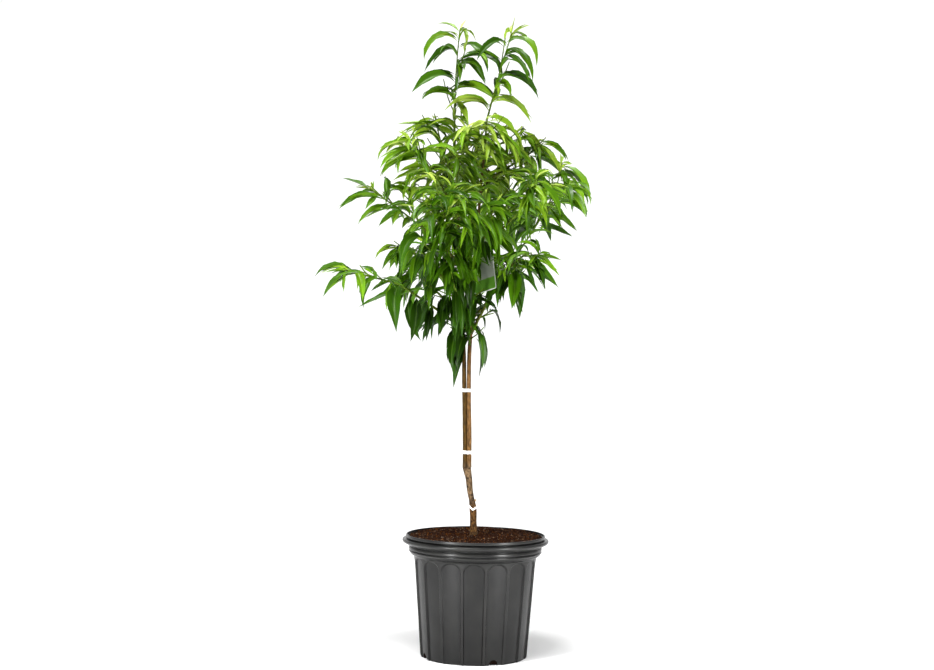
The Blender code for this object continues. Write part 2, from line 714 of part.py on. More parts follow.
def keep_main_body(thing, weld=WELD):
    """Drops loose scraps and sealed hollows, which are bodies apart from the biggest one."""
    edit = bmesh.new()
    edit.from_mesh(thing.data)
    bmesh.ops.remove_doubles(edit, verts=edit.verts, dist=weld)
    bmesh.ops.dissolve_degenerate(edit, edges=edit.edges, dist=weld)
    bmesh.ops.dissolve_limit(
        edit, angle_limit=FLAT_ANGLE, verts=edit.verts, edges=edit.edges, delimit={"NORMAL"}
    )
    bmesh.ops.triangulate(edit, faces=edit.faces)
    left, bodies = set(edit.faces), []
    while left:
        stack, body = [left.pop()], []
        while stack:
            face = stack.pop()
            body.append(face)
            for edge in face.edges:
                for other in edge.link_faces:
                    if other in left:
                        left.remove(other)
                        stack.append(other)
        bodies.append(body)
    bodies.sort(key=lambda body: sum(face.calc_area() for face in body))
    for body in bodies[:-1]:
        bmesh.ops.delete(edit, geom=body, context="FACES")
    edit.to_mesh(thing.data)
    edit.free()


def leaf_mesh(leaf, extra=0.0):
    """A leaf: a root edge, two folded rings (edge, top, edge, underside) and a tip.

    Its centre line starts at the leaf's rise and bends down to its end rise, and the bend
    comes early where the leaf hangs. extra makes it larger all round, to test clearances.
    Gives the corners and the faces, those that reach the root first.
    """
    steps, knots = 12, {0: leaf.root}
    point = leaf.root.copy()
    for i in range(steps):
        share = (i + 0.5) / steps
        rise = leaf.rise + (leaf.end_rise - leaf.rise) * share ** leaf.bend
        point = point + pointing(leaf.heading, rise) * ((leaf.length + extra) / steps)
        knots[i + 1] = (point.copy(), rise)
    up = Vector((0.0, 0.0, 1.0))
    thick = leaf.length * LEAF_THICKNESS_SHARE / 2 + extra
    corners = [leaf.root + up * LEAF_ROOT / 2, leaf.root - up * LEAF_ROOT / 2]
    rings = ((6, 0.95),) if leaf.length < SMALL_LEAF else ((4, 0.90), (8, 0.86))
    for knot, width_share in rings:
        centre, rise = knots[knot]
        along = pointing(leaf.heading, rise)
        side = Matrix.Rotation(math.radians(leaf.roll), 3, along) @ along.cross(up).normalized()
        top = side.cross(along).normalized()
        half = leaf.width * width_share / 2 + extra
        fold = math.radians(leaf.fold)
        edge_up = top * half * math.sin(fold)
        corners += [
            centre - side * half * math.cos(fold) + edge_up,
            centre + top * thick,
            centre + side * half * math.cos(fold) + edge_up,
            centre - top * thick,
        ]
    corners.append(knots[steps][0])
    faces = [(0, 2, 1), (0, 3, 2), (1, 2, 5), (0, 1, 4), (0, 4, 3), (1, 5, 4)]
    last = len(corners) - 5
    for i in range(4):
        a, b = i, (i + 1) % 4
        if len(rings) == 2:
            faces += [(2 + a, 2 + b, 6 + b), (2 + a, 6 + b, 6 + a)]
        faces.append((last + a, last + b, last + 4))
    return corners, faces


def leaf_solid(leaf, group):
    corners, faces = leaf_mesh(leaf)
    mesh = bpy.data.meshes.new("leaf")
    mesh.from_pydata([tuple(c) for c in corners], [], faces)
    edit = bmesh.new()
    edit.from_mesh(mesh)
    bmesh.ops.recalc_face_normals(edit, faces=edit.faces)
    edit.to_mesh(mesh)
    edit.free()
    return add_object("leaf", mesh, group)


Leaf = namedtuple("Leaf", "root heading rise end_rise bend length width fold roll")


def smooth_step(low, high, value):
    share = max(0.0, min(1.0, (value - low) / (high - low)))
    return share * share * (3 - 2 * share)


def plan_axes(row, tree, draw):
    """The shoot's stem and its side twigs: each a route with a radius at its foot."""
    carrier = tree.routes[row.carrier]
    start, along = at_share(carrier, row.share)
    heading, rise = row.heading, row.rise
    foot = SHOOT_FOOT_RADIUS
    if heading is ON:
        heading, rise = heading_and_rise(along)
        start = start + along * GAP
        foot = SHOOT_ON_BOUGH_RADIUS
    stem = grow(start, heading, rise, row.turn, row.lift, row.length * MM)
    axes = [(stem, foot)]
    side = draw.choice((-1, 1))
    for i in range(row.twigs):
        share = 0.30 + 0.38 * (i + 0.5 * draw.random()) / row.twigs
        point, along = at_share(stem, share)
        heading, rise = heading_and_rise(along)
        spread = TWIG_SPREAD * draw.uniform(0.8, 1.2) * side
        length = row.length * MM * TWIG_SHARE * draw.uniform(0.75, 1.1)
        length = max(38.0 * MM, min(75.0 * MM, length))
        lift = draw.uniform(-6.0, 22.0)
        twig = grow(point, heading + spread, rise * 0.7, 0.0, lift, length, TWIG_STEPS)
        axes.append((twig, SHOOT_TIP_RADIUS * 1.25))
        side = -side
    return axes


def plan_leaves(row, axes, draw):
    """Leaves in a spiral along each axis: full-grown, then young and upright near its tip."""
    total = sum(lengths_along(points)[-1] for points, _ in axes)
    leaves = []
    for number, (points, _) in enumerate(axes):
        length = lengths_along(points)[-1]
        count = max(3, round(row.leaves * length / total))
        bare = 0.0 if number else 0.10
        turn = draw.uniform(0.0, 360.0)
        for k in range(count):
            share = bare + (1.0 - bare) * (k + 0.7) / count
            share = min(share, 0.985)
            root, along = at_share(points, share)
            young = smooth_step(YOUNG_FROM, 1.0, share)
            turn += LEAF_SPIRAL + draw.uniform(-12.0, 12.0)
            across = along.orthogonal().normalized()
            out = Matrix.Rotation(math.radians(turn), 3, along) @ across
            spread = LEAF_SPREAD + (YOUNG_SPREAD - LEAF_SPREAD) * young + draw.uniform(-8.0, 8.0)
            start = along * math.cos(math.radians(spread)) + out * math.sin(math.radians(spread))
            heading, rise = heading_and_rise(start)
            rise = min(rise, 62.0) - 18.0 * row.hang
            end = LEAF_END_RISE - 14.0 * row.hang + draw.uniform(-10.0, 10.0)
            end = end + (rise - 25.0 - end) * young * 0.7
            size = row.leaf * MM * (1.0 + (YOUNG_SIZE - 1.0) * young) * draw.uniform(0.88, 1.10)
            width = size * LEAF_WIDTH_SHARE * draw.uniform(0.9, 1.1)
            fold = LEAF_FOLD * (1.0 - 0.5 * row.hang) * draw.uniform(0.8, 1.2)
            roll = draw.uniform(-1.0, 1.0) * (14.0 + 50.0 * row.hang)
            bend = 1.0 - 0.5 * row.hang
            leaves.append(Leaf(root, heading, rise, min(end, rise), bend, size, width, fold, roll))
    return leaves


def tree_surface(things):
    """One search tree over the faces of several objects."""
    corners, faces = [], []
    for thing in things:
        base = len(corners)
        corners += [corner.co.copy() for corner in thing.data.vertices]
        faces += [tuple(base + v for v in face.vertices) for face in thing.data.polygons]
    return BVHTree.FromPolygons(corners, faces) if faces else None


def touches(thing, surfaces):
    own = tree_surface([thing])
    return any(surface is not None and own.overlap(surface) for surface in surfaces)


def place_leaves(leaves, surfaces, group):
    """Puts in each leaf that is clear of other shoots, limbs and its own shoot's other blades."""
    blades, placed = [], []
    for leaf in leaves:
        corners, faces = leaf_mesh(leaf, LEAF_CLEARANCE)
        whole = BVHTree.FromPolygons(corners, faces)
        blade = BVHTree.FromPolygons(corners, faces[ROOT_FACES:])
        if any(surface is not None and whole.overlap(surface) for surface in surfaces):
            continue
        if any(blade.overlap(other) or whole.overlap(near) for other, near in blades):
            continue
        blades.append((whole, blade))
        placed.append(leaf_solid(leaf, group))
    return placed


def fuse(stem, pieces, group):
    """Joins twigs and leaves to their stem. A try that isn't one closed body loses a leaf."""
    plain = stem.data.copy()
    while True:
        for solver in ("EXACT", "MANIFOLD"):
            boolean(stem, "UNION", collection=group, solver=solver)
            apply_modifiers(stem)
            joined = stem.data.copy()
            for weld in (WELD * 80, WELD * 40, WELD * 20, WELD * 10, WELD):
                keep_main_body(stem, weld)
                if is_closed(stem.data):
                    return
                stem.data = joined.copy()
            stem.data = plain.copy()
        remove_object(pieces.pop())


def make_shoots(tree, sections, parts, cutters):
    """Stems and twigs first, so that no leaf is put where another shoot's stem will pass."""
    limbs = [thing for thing in parts.objects if thing.name not in ("pot", "potting_mix")]
    limb_surface = tree_surface(limbs)
    plans = {}
    for row in SHOOTS:
        draw = random.Random(row.seed)
        axes = plan_axes(row, tree, draw)
        leaves = plan_leaves(row, axes, draw)
        stem_points, foot = axes[0]
        radii = taper(stem_points, foot, SHOOT_TIP_RADIUS)
        stem = tube(f"shoot_{row.name}", stem_points, radii, sections[TWIG_SIDES], parts)
        if row.heading is not ON:
            leader = row.carrier.startswith("leader")
            section = sections[LEADER_SIDES if leader else LIMB_SIDES]
            cut_clear(stem, tree, row.carrier, section, cutters)
        twigs = []
        for points, foot in axes[1:]:
            twig = tube("twig", points, taper(points, foot, SHOOT_TIP_RADIUS * 0.8), sections[3], cutters)
            others = [plan[0] for plan in plans.values()] + [t for plan in plans.values() for t in plan[1]]
            if touches(twig, [limb_surface, tree_surface(others)]):
                remove_object(twig)
                keep = points
                leaves = [leaf for leaf in leaves if not is_on(leaf.root, keep)]
            else:
                twigs.append(twig)
        plans[row.name] = (stem, twigs, leaves)
    for row in SHOOTS:
        stem, twigs, leaves = plans[row.name]
        others = [thing for name, plan in plans.items() if name != row.name for thing in [plan[0]] + plan[1]]
        surfaces = [limb_surface, tree_surface(others)]
        group = bpy.data.collections.new("to_fuse")
        bpy.context.scene.collection.children.link(group)
        for twig in twigs:
            cutters.objects.unlink(twig)
            group.objects.link(twig)
        placed = place_leaves(leaves, surfaces, group)
        fuse(stem, placed, group)
        print(f"{stem.name}: {len(twigs)} twigs, {len(placed)} of {len(leaves)} leaves")
        for thing in list(group.objects):
            remove_object(thing)
        bpy.data.collections.remove(group)
        plans[row.name] = (stem, [], [])
        finish_part(stem, "leaf")


def is_on(point, route):
    """Whether a point lies on a route."""
    for a, b in zip(route, route[1:]):
        along = b - a
        share = max(0.0, min(1.0, (point - a).dot(along) / along.length_squared))
        if (point - a - along * share).length < 0.01 * MM:
            return True
    return False


def main():
    clear_scene()
    parts = new_collection("potted_nectarine_tree")
    cutters = new_collection("cutters")
    sections = {sides: polygon_curve(sides, cutters) for sides in (3, 4, 5, 8, 10)}
    tree = Tree()
    make_pot(parts, cutters)
    make_mix(parts)
    make_trunk(tree, sections, parts, cutters)
    make_leader("leader_left", LEADER_LEFT_ROUTE, tree, sections, parts)
    make_leader("leader_right", LEADER_RIGHT_ROUTE, tree, sections, parts)
    make_lower_tie(tree, sections, parts, cutters)
    make_tie("tie_middle", TIE_MIDDLE, tree, sections, parts, cutters)
    make_tie("tie_upper", TIE_UPPER, tree, sections, parts, cutters)
    make_tag(tree, sections, parts, cutters)
    for row in BOUGHS:
        make_bough(row, tree, sections, parts, cutters)
    make_shoots(tree, sections, parts, cutters)


main()
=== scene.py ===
import math
import random

import bpy
import numpy as np
from mathutils import Matrix, Vector


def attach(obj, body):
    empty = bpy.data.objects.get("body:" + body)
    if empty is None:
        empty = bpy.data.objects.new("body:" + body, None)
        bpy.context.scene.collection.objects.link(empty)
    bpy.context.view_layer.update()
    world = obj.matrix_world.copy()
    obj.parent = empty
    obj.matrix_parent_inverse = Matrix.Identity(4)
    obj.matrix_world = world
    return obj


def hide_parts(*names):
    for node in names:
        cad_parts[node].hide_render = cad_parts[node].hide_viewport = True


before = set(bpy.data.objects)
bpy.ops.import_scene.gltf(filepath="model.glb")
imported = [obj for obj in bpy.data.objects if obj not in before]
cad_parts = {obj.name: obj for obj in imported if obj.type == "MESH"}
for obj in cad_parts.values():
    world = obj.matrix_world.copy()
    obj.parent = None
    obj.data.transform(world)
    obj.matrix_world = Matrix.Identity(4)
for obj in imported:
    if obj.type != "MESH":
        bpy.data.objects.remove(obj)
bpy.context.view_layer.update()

# A young nectarine tree in a fluted nursery pot. Lengths are in millimetres until scaled by mm.
# The pot stands on z = 0 at the origin, and the photograph looks along +Y.
mm = 0.001
rng = np.random.default_rng(7)


def linear(code):
    # sRGB hex to linear light: c / 12.92 below 0.04045, else ((c + 0.055) / 1.055) to the power 2.4
    c = np.array([int(code[i : i + 2], 16) for i in (1, 3, 5)]) / 255
    return np.where(c <= 0.04045, c / 12.92, ((c + 0.055) / 1.055) ** 2.4)


def smoothStep(low, high, value):
    # 0 below low, 1 above high, and 3t^2 - 2t^3 between them
    t = np.clip((value - low) / (high - low), 0.0, 1.0)
    return t * t * (3 - 2 * t)


def unit(vectors):
    # each vector over its own length
    return vectors / np.maximum(np.linalg.norm(vectors, axis=-1, keepdims=True), 1e-12)


def addNode(tree, kind, settings=None, **links):
    # one shader node: settings are its properties or sockets, links are sockets or plain values
    node = tree.nodes.new(kind)
    for key, value in (settings or {}).items():
        setattr(node, key, value)
    for key, value in links.items():
        name = key.replace("_", " ")
        socket = node.inputs[int(name[1:])] if name[0] == "n" and name[1:].isdigit() else node.inputs[name]
        if isinstance(value, bpy.types.NodeSocket):
            tree.links.new(value, socket)
        else:
            socket.default_value = value
    return node


def newMaterial(name, roughness, ior=1.5):
    finish = bpy.data.materials.new(name)
    finish.use_nodes = True
    tree = finish.node_tree
    shader = tree.nodes["Principled BSDF"]
    shader.inputs["Roughness"].default_value = roughness
    shader.inputs["IOR"].default_value = ior
    return finish, tree, shader


def ramp(tree, factor, stops):
    # a colour ramp through (place, hex) stops
    node = addNode(tree, "ShaderNodeValToRGB", Fac=factor)
    marks = node.color_ramp.elements
    while len(marks) < len(stops):
        marks.new(0.5)
    for mark, (place, code) in zip(marks, stops):
        mark.position = place
        mark.color = (*linear(code), 1.0)
    return node


def gridFaces(rows, columns, wrap=False, start=0):
    # four corners for each cell of a rows x columns grid of points, the last column joined to the first if wrap
    across = columns if wrap else columns - 1
    r, c = np.meshgrid(np.arange(rows - 1), np.arange(across), indexing="ij")
    d = (c + 1) % columns
    corners = [r * columns + c, r * columns + d, (r + 1) * columns + d, (r + 1) * columns + c]
    return start + np.stack(corners, -1).reshape(-1, 4)


def makePiece(name, points, quads, material, triangles=None, uv=None, tint=None, smooth=True):
    # puts whole arrays of points and faces into one mesh, with its own map and a colour per point
    triangles = np.zeros((0, 3), int) if triangles is None else triangles
    loops = np.concatenate([quads.ravel(), triangles.ravel()]).astype(np.int32)
    sizes = np.concatenate([np.full(len(quads), 4), np.full(len(triangles), 3)])
    mesh = bpy.data.meshes.new(name)
    mesh.vertices.add(len(points))
    mesh.vertices.foreach_set("co", np.ascontiguousarray(points, np.float32).ravel())
    mesh.loops.add(len(loops))
    mesh.loops.foreach_set("vertex_index", loops)
    mesh.polygons.add(len(sizes))
    mesh.polygons.foreach_set("loop_start", (np.cumsum(sizes) - sizes).astype(np.int32))
    mesh.update(calc_edges=True)
    if uv is not None:
        layer = mesh.uv_layers.new(name="map")
        layer.data.foreach_set("uv", np.ascontiguousarray(uv[loops], np.float32).ravel())
    if tint is not None:
        layer = mesh.color_attributes.new("tint", "FLOAT_COLOR", "POINT")
        rgba = np.concatenate([tint, np.ones((len(tint), 1))], 1)
        layer.data.foreach_set("color", np.ascontiguousarray(rgba, np.float32).ravel())
    mesh.polygons.foreach_set("use_smooth", np.full(len(sizes), smooth))
    mesh.materials.append(material)
    piece = bpy.data.objects.new(name, mesh)
    bpy.context.scene.collection.objects.link(piece)
    return piece


def joinParts(parts):
    # (points, quads, triangles, uv, tint) of many parts into one set, each part's faces moved on
    total, quads, triangles = 0, [], []
    for part in parts:
        quads.append(part[1] + total)
        triangles.append(part[2] + total)
        total += len(part[0])
    joined = [np.concatenate([part[i] for part in parts]) for i in (0, 3, 4)]
    return joined[0], np.concatenate(quads), np.concatenate(triangles), joined[1], joined[2]


def finishPiece(piece, slotName, *nodes):
    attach(piece, "root")
    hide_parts(*nodes)
    return piece


# Pot

pot = {
    "height": 246.7,
    "rim": 140.3,
    "wall": 2.6,
    "turn": -1.2,
    "flange": 147.6,
    "neck": 133.4,
    "foot": 108.5,
    "flare": 0.0745,  # growth of the body's radius with height
    "flutes": 16,
    "fluteDepth": 3.2,
    "rib": 4.4,
    "flank": 1.7,
    "archHeight": 17.0,
    "archTop": 202.0,
    "drainHeadings": (-67.5, 22.5, 112.5, 202.5),
    "drainRadius": 9.0,
    "drainCentre": 2.4,
}


def bodyRadius(z):
    return pot["foot"] + pot["flare"] * z


def roundCorners(profile, reach):
    # each corner of a (radius, height) line becomes a quadratic curve that starts up to reach before it
    out = [profile[0]]
    for a, b, c in zip(profile, profile[1:], profile[2:]):
        a, b, c = np.array(a), np.array(b), np.array(c)
        before = min(reach, 0.42 * np.linalg.norm(b - a)) * unit(a - b)
        after = min(reach, 0.42 * np.linalg.norm(c - b)) * unit(c - b)
        for t in (0.0, 0.5, 1.0):
            out.append(b + before * (1 - t) ** 2 + after * t**2)
    return np.array([tuple(p) for p in out] + [tuple(profile[-1])])


def splitLong(profile, longest):
    # adds even points between any two that lie further apart than longest
    out = [profile[0]]
    for a, b, most in zip(profile, profile[1:], np.minimum(longest, np.roll(longest, -1))):
        count = max(1, math.ceil(np.linalg.norm(b - a) / most))
        out += [a + (b - a) * (i + 1) / count for i in range(count)]
    return np.array(out)


def flutePress(angle, z):
    # how far the wall is pressed in: full depth inside a panel, sloping to nothing over the flank.
    # A panel's edge is half its width away, and above the spring line it is an ellipse.
    pitch = math.tau / pot["flutes"]
    offset = (angle + math.pi / 2 + pitch / 2) % pitch - pitch / 2
    across = np.abs(offset) * bodyRadius(z)
    half = (bodyRadius(z) * pitch - pot["rib"]) / 2
    spring = pot["archTop"] - pot["archHeight"]
    rise = np.clip((z - spring) / pot["archHeight"], 0, None)
    straight = half - across
    arched = (1 - np.hypot(across / half, rise)) * np.minimum(half, pot["archHeight"])
    inside = np.where(z > spring, arched, straight)
    return pot["fluteDepth"] * smoothStep(0.0, pot["flank"], inside)


def makePot(material):
    # a (radius, height) profile turned once round: its columns crowd at the ribs, its rows at the arches and rim
    rim, neck, flange = pot["rim"], pot["neck"], pot["flange"]
    inner = [
        (1.0, 3.0),
        (bodyRadius(3) - 4.2, 3.0),
        (bodyRadius(200) - 4.2, 200.0),
        (neck - 4.4, 226.0),
        (rim - 6.6, 236.0),
        (rim - 6.6, 240.6),
        (rim - pot["wall"], 242.0),
        (rim - pot["wall"], pot["height"]),
    ]
    outer = [
        (rim - 0.4, pot["height"]),
        (rim + 0.3, 245.4),
        (rim + 0.2, 241.6),
        (rim - 0.5, 240.7),
        (rim - 3.6, 240.3),
        (rim - 3.6, 238.8),
        (rim + 0.8, 238.5),
        (flange - 1.8, 238.2),
        (flange, 236.4),
        (flange, 233.4),
        (flange - 1.8, 231.2),
        (neck + 2.2, 225.8),
        (neck - 1.2, 225.2),
        (neck - 1.2, 223.8),
        (neck + 0.5, 222.6),
        (neck + 1.1, 218.6),
        (neck + 0.4, 217.4),
        (neck - 1.4, 216.6),
        (neck - 1.4, 215.4),
        (neck + 0.5, 214.4),
        (neck + 0.7, 212.8),
        (neck - 0.4, 211.6),
        (neck - 2.2, 210.2),
        (neck - 2.4, 208.4),
        (bodyRadius(202) + 3.0, 205.4),
        (bodyRadius(202) + 0.3, 203.6),
        (bodyRadius(185), 185.0),
        (bodyRadius(8), 8.0),
        (bodyRadius(0) - 0.4, 3.0),
        (bodyRadius(0) - 2.2, 0.4),
        (bodyRadius(0) - 4.0, 0.0),
        (1.0, 0.0),
    ]
    profile = roundCorners(inner + outer, 1.2)
    fine = (profile[:, 1] > 180) & (profile[:, 1] < 206) & (profile[:, 0] > 115)
    profile = splitLong(profile, np.where(fine, 0.8, 14.0))
    # columns of one flute: close over the flank and rib, wide over the flat of the panel
    half = math.pi / pot["flutes"]
    flank = half - (pot["rib"] / 2 + pot["flank"]) / bodyRadius(100)
    columns = np.concatenate([np.linspace(0, flank * 0.97, 11), np.linspace(flank, half, 9)[:-1]])
    columns = np.concatenate([-columns[:0:-1], columns, [half]])
    angle = (columns[None] + 2 * half * np.arange(pot["flutes"])[:, None] - math.pi / 2).ravel()
    turns = len(angle)
    radius, height = profile[:, :1], profile[:, 1:]
    isOuter = (np.arange(len(profile)) > np.argmax(profile[:, 1]))[:, None]
    press = np.where(isOuter, flutePress(angle[None, :], height + 0 * angle[None, :]), 0.0)
    press = press * smoothStep(60.0, 100.0, radius) * smoothStep(-1.0, 2.5, height)
    # oval by under half a millimetre, as thin moulded plastic is
    sway = 0.35 * np.cos(2 * angle + 0.6)[None, :] * smoothStep(0.0, 120.0, height)
    reach = radius - press + sway * smoothStep(60.0, 100.0, radius)
    turned = angle + math.radians(pot["turn"])
    grid = np.stack([reach * np.cos(turned), reach * np.sin(turned), height + 0 * reach], -1)
    points = grid.reshape(-1, 3)
    quads = gridFaces(len(profile), turns, wrap=True)[:, ::-1]
    ends = []
    for row, flip in ((0, 1), (len(profile) - 1, -1)):
        ring = row * turns + np.arange(turns)
        centre = len(points)
        points = np.vstack([points, [[0, 0, profile[row, 1]]]])
        fan = np.stack([ring, np.roll(ring, -1), np.full(turns, centre)], -1)
        ends.append(fan[:, ::flip])
    piece = makePiece("pot_shell", points * mm, quads, material, np.concatenate(ends))
    return paintShadeAndHighlights(cutDrains(piece))


def paintShadeAndHighlights(piece):
    # painted shade in the flute hollows, the grooves of the rim and neck and on the inner wall, darker towards the
    # foot, and painted highlight on the rib edges and the neck: a share of full colour at each point, by where it lies
    mesh = piece.data
    points = np.empty(len(mesh.vertices) * 3, np.float32)
    mesh.vertices.foreach_get("co", points)
    x, y, z = points.reshape(-1, 3).T / mm
    radius = np.hypot(x, y)
    press = flutePress(np.arctan2(y, x) - math.radians(pot["turn"]), z) / pot["fluteDepth"]
    onWall = (z < 206) & (radius > bodyRadius(z) - pot["fluteDepth"] - 1.0)
    # painted highlight on the rib edges, painted shade on the flanks of the flutes
    share = 1 + onWall * (0.4 * (press < 0.02) * (z < 200) - 2.6 * press * (1 - press))
    # painted shade in the groove under the lip
    share = share * (1 - 0.8 * smoothStep(238.4, 239.0, z) * (1 - smoothStep(240.2, 240.8, z)) * (radius < pot["rim"] - 0.4))
    # painted shade on the inner wall above the mix and towards the foot, painted highlight on the neck above the
    # arches
    share = share * (1 - 0.7 * (z > 236) * (radius < pot["rim"] - 2.2)) * (0.7 + 0.3 * smoothStep(0.0, 130.0, z) + 0.9 * smoothStep(206.0, 212.0, z))
    # painted shade under the flange and between the neck's beads
    for low, high in ((223.4, 225.6), (215.2, 216.8), (208.2, 210.6)):
        share = share * (1 - 0.6 * smoothStep(low - 0.6, low + 0.2, z) * (1 - smoothStep(high - 0.2, high + 0.6, z)))
    tint = np.repeat(np.clip(share, 0.1, 2.0)[:, None], 3, 1)
    layer = mesh.color_attributes.new("tint", "FLOAT_COLOR", "POINT")
    layer.data.foreach_set("color", np.concatenate([tint, np.ones((len(tint), 1))], 1).astype(np.float32).ravel())
    return piece


def cutDrains(piece):
    # four level cylinders open the foot of the wall and the edge of the floor
    steps, quads, tris, points = 40, [], [], []
    angle = np.arange(steps) * math.tau / steps
    for heading in pot["drainHeadings"]:
        turn = math.radians(heading + pot["turn"] + 90)
        out = np.array([math.cos(turn), math.sin(turn), 0.0])
        side = np.array([-math.sin(turn), math.cos(turn), 0.0])
        ring = np.cos(angle)[:, None] * side + np.sin(angle)[:, None] * np.array([0, 0, 1.0])
        start = len(points) * (2 * steps + 2)
        centre = np.array([0, 0, pot["drainCentre"]])
        ends = [centre + out * reach + ring * pot["drainRadius"] for reach in (pot["foot"] - 13, pot["foot"] + 13)]
        caps = [centre + out * reach for reach in (pot["foot"] - 13, pot["foot"] + 13)]
        points.append(np.vstack(ends + caps))
        quads.append(gridFaces(2, steps, wrap=True, start=start)[:, ::-1])
        near = start + np.arange(steps)
        for ring0, centre0, flip in ((near, start + 2 * steps, 1), (near + steps, start + 2 * steps + 1, -1)):
            fan = np.stack([ring0, np.roll(ring0, -1), np.full(steps, centre0)], -1)
            tris.append(fan[:, ::-flip])
    cutter = makePiece("drainCutter", np.vstack(points) * mm, np.vstack(quads), piece.data.materials[0], np.vstack(tris))
    step = piece.modifiers.new("drains", "BOOLEAN")
    step.operation = "DIFFERENCE"
    step.solver = "EXACT"
    step.object = cutter
    depsgraph = bpy.context.evaluated_depsgraph_get()
    mesh = bpy.data.meshes.new_from_object(piece.evaluated_get(depsgraph))
    piece.modifiers.clear()
    piece.data = mesh
    bpy.data.objects.remove(cutter)
    mesh.set_sharp_from_angle(angle=math.radians(50))
    return piece


# Blow-moulded polyethylene: dark grey, satin, with a faint unevenness; its hollows carry painted shade and its ribs
# and neck painted highlights
potPlastic, tree, shader = newMaterial("blowMouldedPolyethylene", 0.3, 1.5)
shader.inputs["Specular IOR Level"].default_value = 0.23
place = addNode(tree, "ShaderNodeTexCoord")
cloud = addNode(tree, "ShaderNodeTexNoise", Vector=place.outputs["Object"], Scale=1 / (38 * mm), Detail=4.0)
grey = ramp(tree, cloud.outputs["Fac"], [(0.35, "#121212"), (0.65, "#191918")])
# the pot's painted shade and highlights, as a share of full colour
paintedShadeAndHighlight = addNode(tree, "ShaderNodeAttribute", {"attribute_name": "tint"})
mixed = addNode(
    tree, "ShaderNodeMix", {"data_type": "RGBA", "blend_type": "MULTIPLY"},
    n0=1.0, n6=grey.outputs["Color"], n7=paintedShadeAndHighlight.outputs["Color"],
)
tree.links.new(mixed.outputs[2], shader.inputs["Base Color"])
grain = addNode(tree, "ShaderNodeTexNoise", Vector=place.outputs["Object"], Scale=1 / (1.6 * mm), Detail=2.0)
bump = addNode(tree, "ShaderNodeBump", Strength=0.12, Distance=0.2 * mm, Height=grain.outputs["Fac"])
tree.links.new(bump.outputs["Normal"], shader.inputs["Normal"])
finishPiece(makePot(potPlastic), "pot", "pot")
print("pot done")


# Potting mix

mix = {"edge": 242.3, "top": 245.3, "radius": 137.0, "rows": 64, "turns": 220, "lumps": 7000, "relief": 1.0}
mixShades = ["#1C0D07", "#2D180B", "#45260A", "#46352A", "#5C4734", "#736252", "#7E4C1E"]
mixShares = np.array([0.26, 0.27, 0.22, 0.12, 0.07, 0.04, 0.02])


def mixHeight(x, y):
    # a low dome with long waves on it; the granular part is the lumps laid on top
    radius = np.hypot(x, y) / mix["radius"]
    waves = np.sin(x / 9.0 + 1.3) * np.cos(y / 11.0) + 0.6 * np.sin(x / 5.2 - y / 6.1 + 0.4)
    back = 3.6 * smoothStep(10.0, 120.0, y) * (0.75 + 0.25 * np.sin(x / 13.0 + 0.8))
    return mix["edge"] + (mix["top"] - mix["edge"]) * (1 - radius**2) + 0.5 * waves + back


def makeMix(material):
    share = np.linspace(0.01, 1, mix["rows"])[:, None] ** 0.8
    angle = np.arange(mix["turns"]) * math.tau / mix["turns"]
    x, y = mix["radius"] * share * np.cos(angle), mix["radius"] * share * np.sin(angle)
    z = mixHeight(x, y) + rng.normal(0, mix["relief"] * 0.5, x.shape)
    z[-1] = z[-1] - 1.0
    walls = []
    for radius, height in ((132.6, 236.5), (129.0, 226.0), (bodyRadius(200) - 4.2, 200.0), (bodyRadius(4) - 4.2, 3.6)):
        walls.append(np.stack([radius * np.cos(angle), radius * np.sin(angle), height + 0 * angle], -1))
    grid = np.concatenate([np.stack([x, y, z], -1), np.array(walls)])
    points = grid.reshape(-1, 3)
    quads = gridFaces(len(grid), mix["turns"], wrap=True)
    fans = []
    for row, height, flip in ((0, mix["top"], 1), (len(grid) - 1, 3.6, -1)):
        ring = row * mix["turns"] + np.arange(mix["turns"])
        fans.append(np.stack([ring, np.roll(ring, -1), np.full(len(ring), len(points))], -1)[:, ::flip])
        points = np.vstack([points, [[0, 0, height]]])
    base = linear(mixShades[0]) * (0.8 + 0.5 * rng.random((len(points), 1)))
    # painted shade on the mix along the pot wall, and its sides down in the pot darker still
    base[np.hypot(*points[:, :2].T) > mix["radius"] - 9] *= 0.4
    base[points[:, 2] < 230] *= 0.3
    # lumps: squashed eight-sided grains, sunk by a third, each turned and tinted at random
    corner = np.array([(1, 0, 0), (0, 1, 0), (-1, 0, 0), (0, -1, 0), (0, 0, 1), (0, 0, -1)], float)
    face = np.array([(0, 1, 4), (1, 2, 4), (2, 3, 4), (3, 0, 4), (1, 0, 5), (2, 1, 5), (3, 2, 5), (0, 3, 5)])
    count = mix["lumps"]
    where = (mix["radius"] - 2.5) * np.sqrt(rng.random(count))
    around = rng.random(count) * math.tau
    size = np.clip(rng.lognormal(0.1, 0.45, count), 0.5, 3.0)
    shape = corner[None] * rng.uniform(0.45, 1.25, (count, 6, 1))
    shape = shape * np.stack([size, size * rng.uniform(0.5, 1, count), size * rng.uniform(0.35, 0.75, count)], -1)[:, None]
    spin = rng.random(count) * math.tau
    cos, sin = np.cos(spin)[:, None], np.sin(spin)[:, None]
    turned = np.stack([shape[..., 0] * cos - shape[..., 1] * sin, shape[..., 0] * sin + shape[..., 1] * cos, shape[..., 2]], -1)
    cx, cy = where * np.cos(around), where * np.sin(around)
    centre = np.stack([cx, cy, mixHeight(cx, cy) + size * 0.12], -1)
    lumps = (turned + centre[:, None]).reshape(-1, 3)
    shade = rng.choice(len(mixShades), count, p=mixShares)
    colours = np.array([linear(code) for code in mixShades])[shade] * rng.uniform(0.75, 1.25, (count, 1))
    faces = (face[None] + 6 * np.arange(count)[:, None, None]).reshape(-1, 3) + len(points)
    tint = np.concatenate([base, np.repeat(colours, 6, 0)])
    points = np.vstack([points, lumps])
    return makePiece("mix_surface", points * mm, quads, material, np.vstack(fans + [faces]), tint=tint, smooth=False)


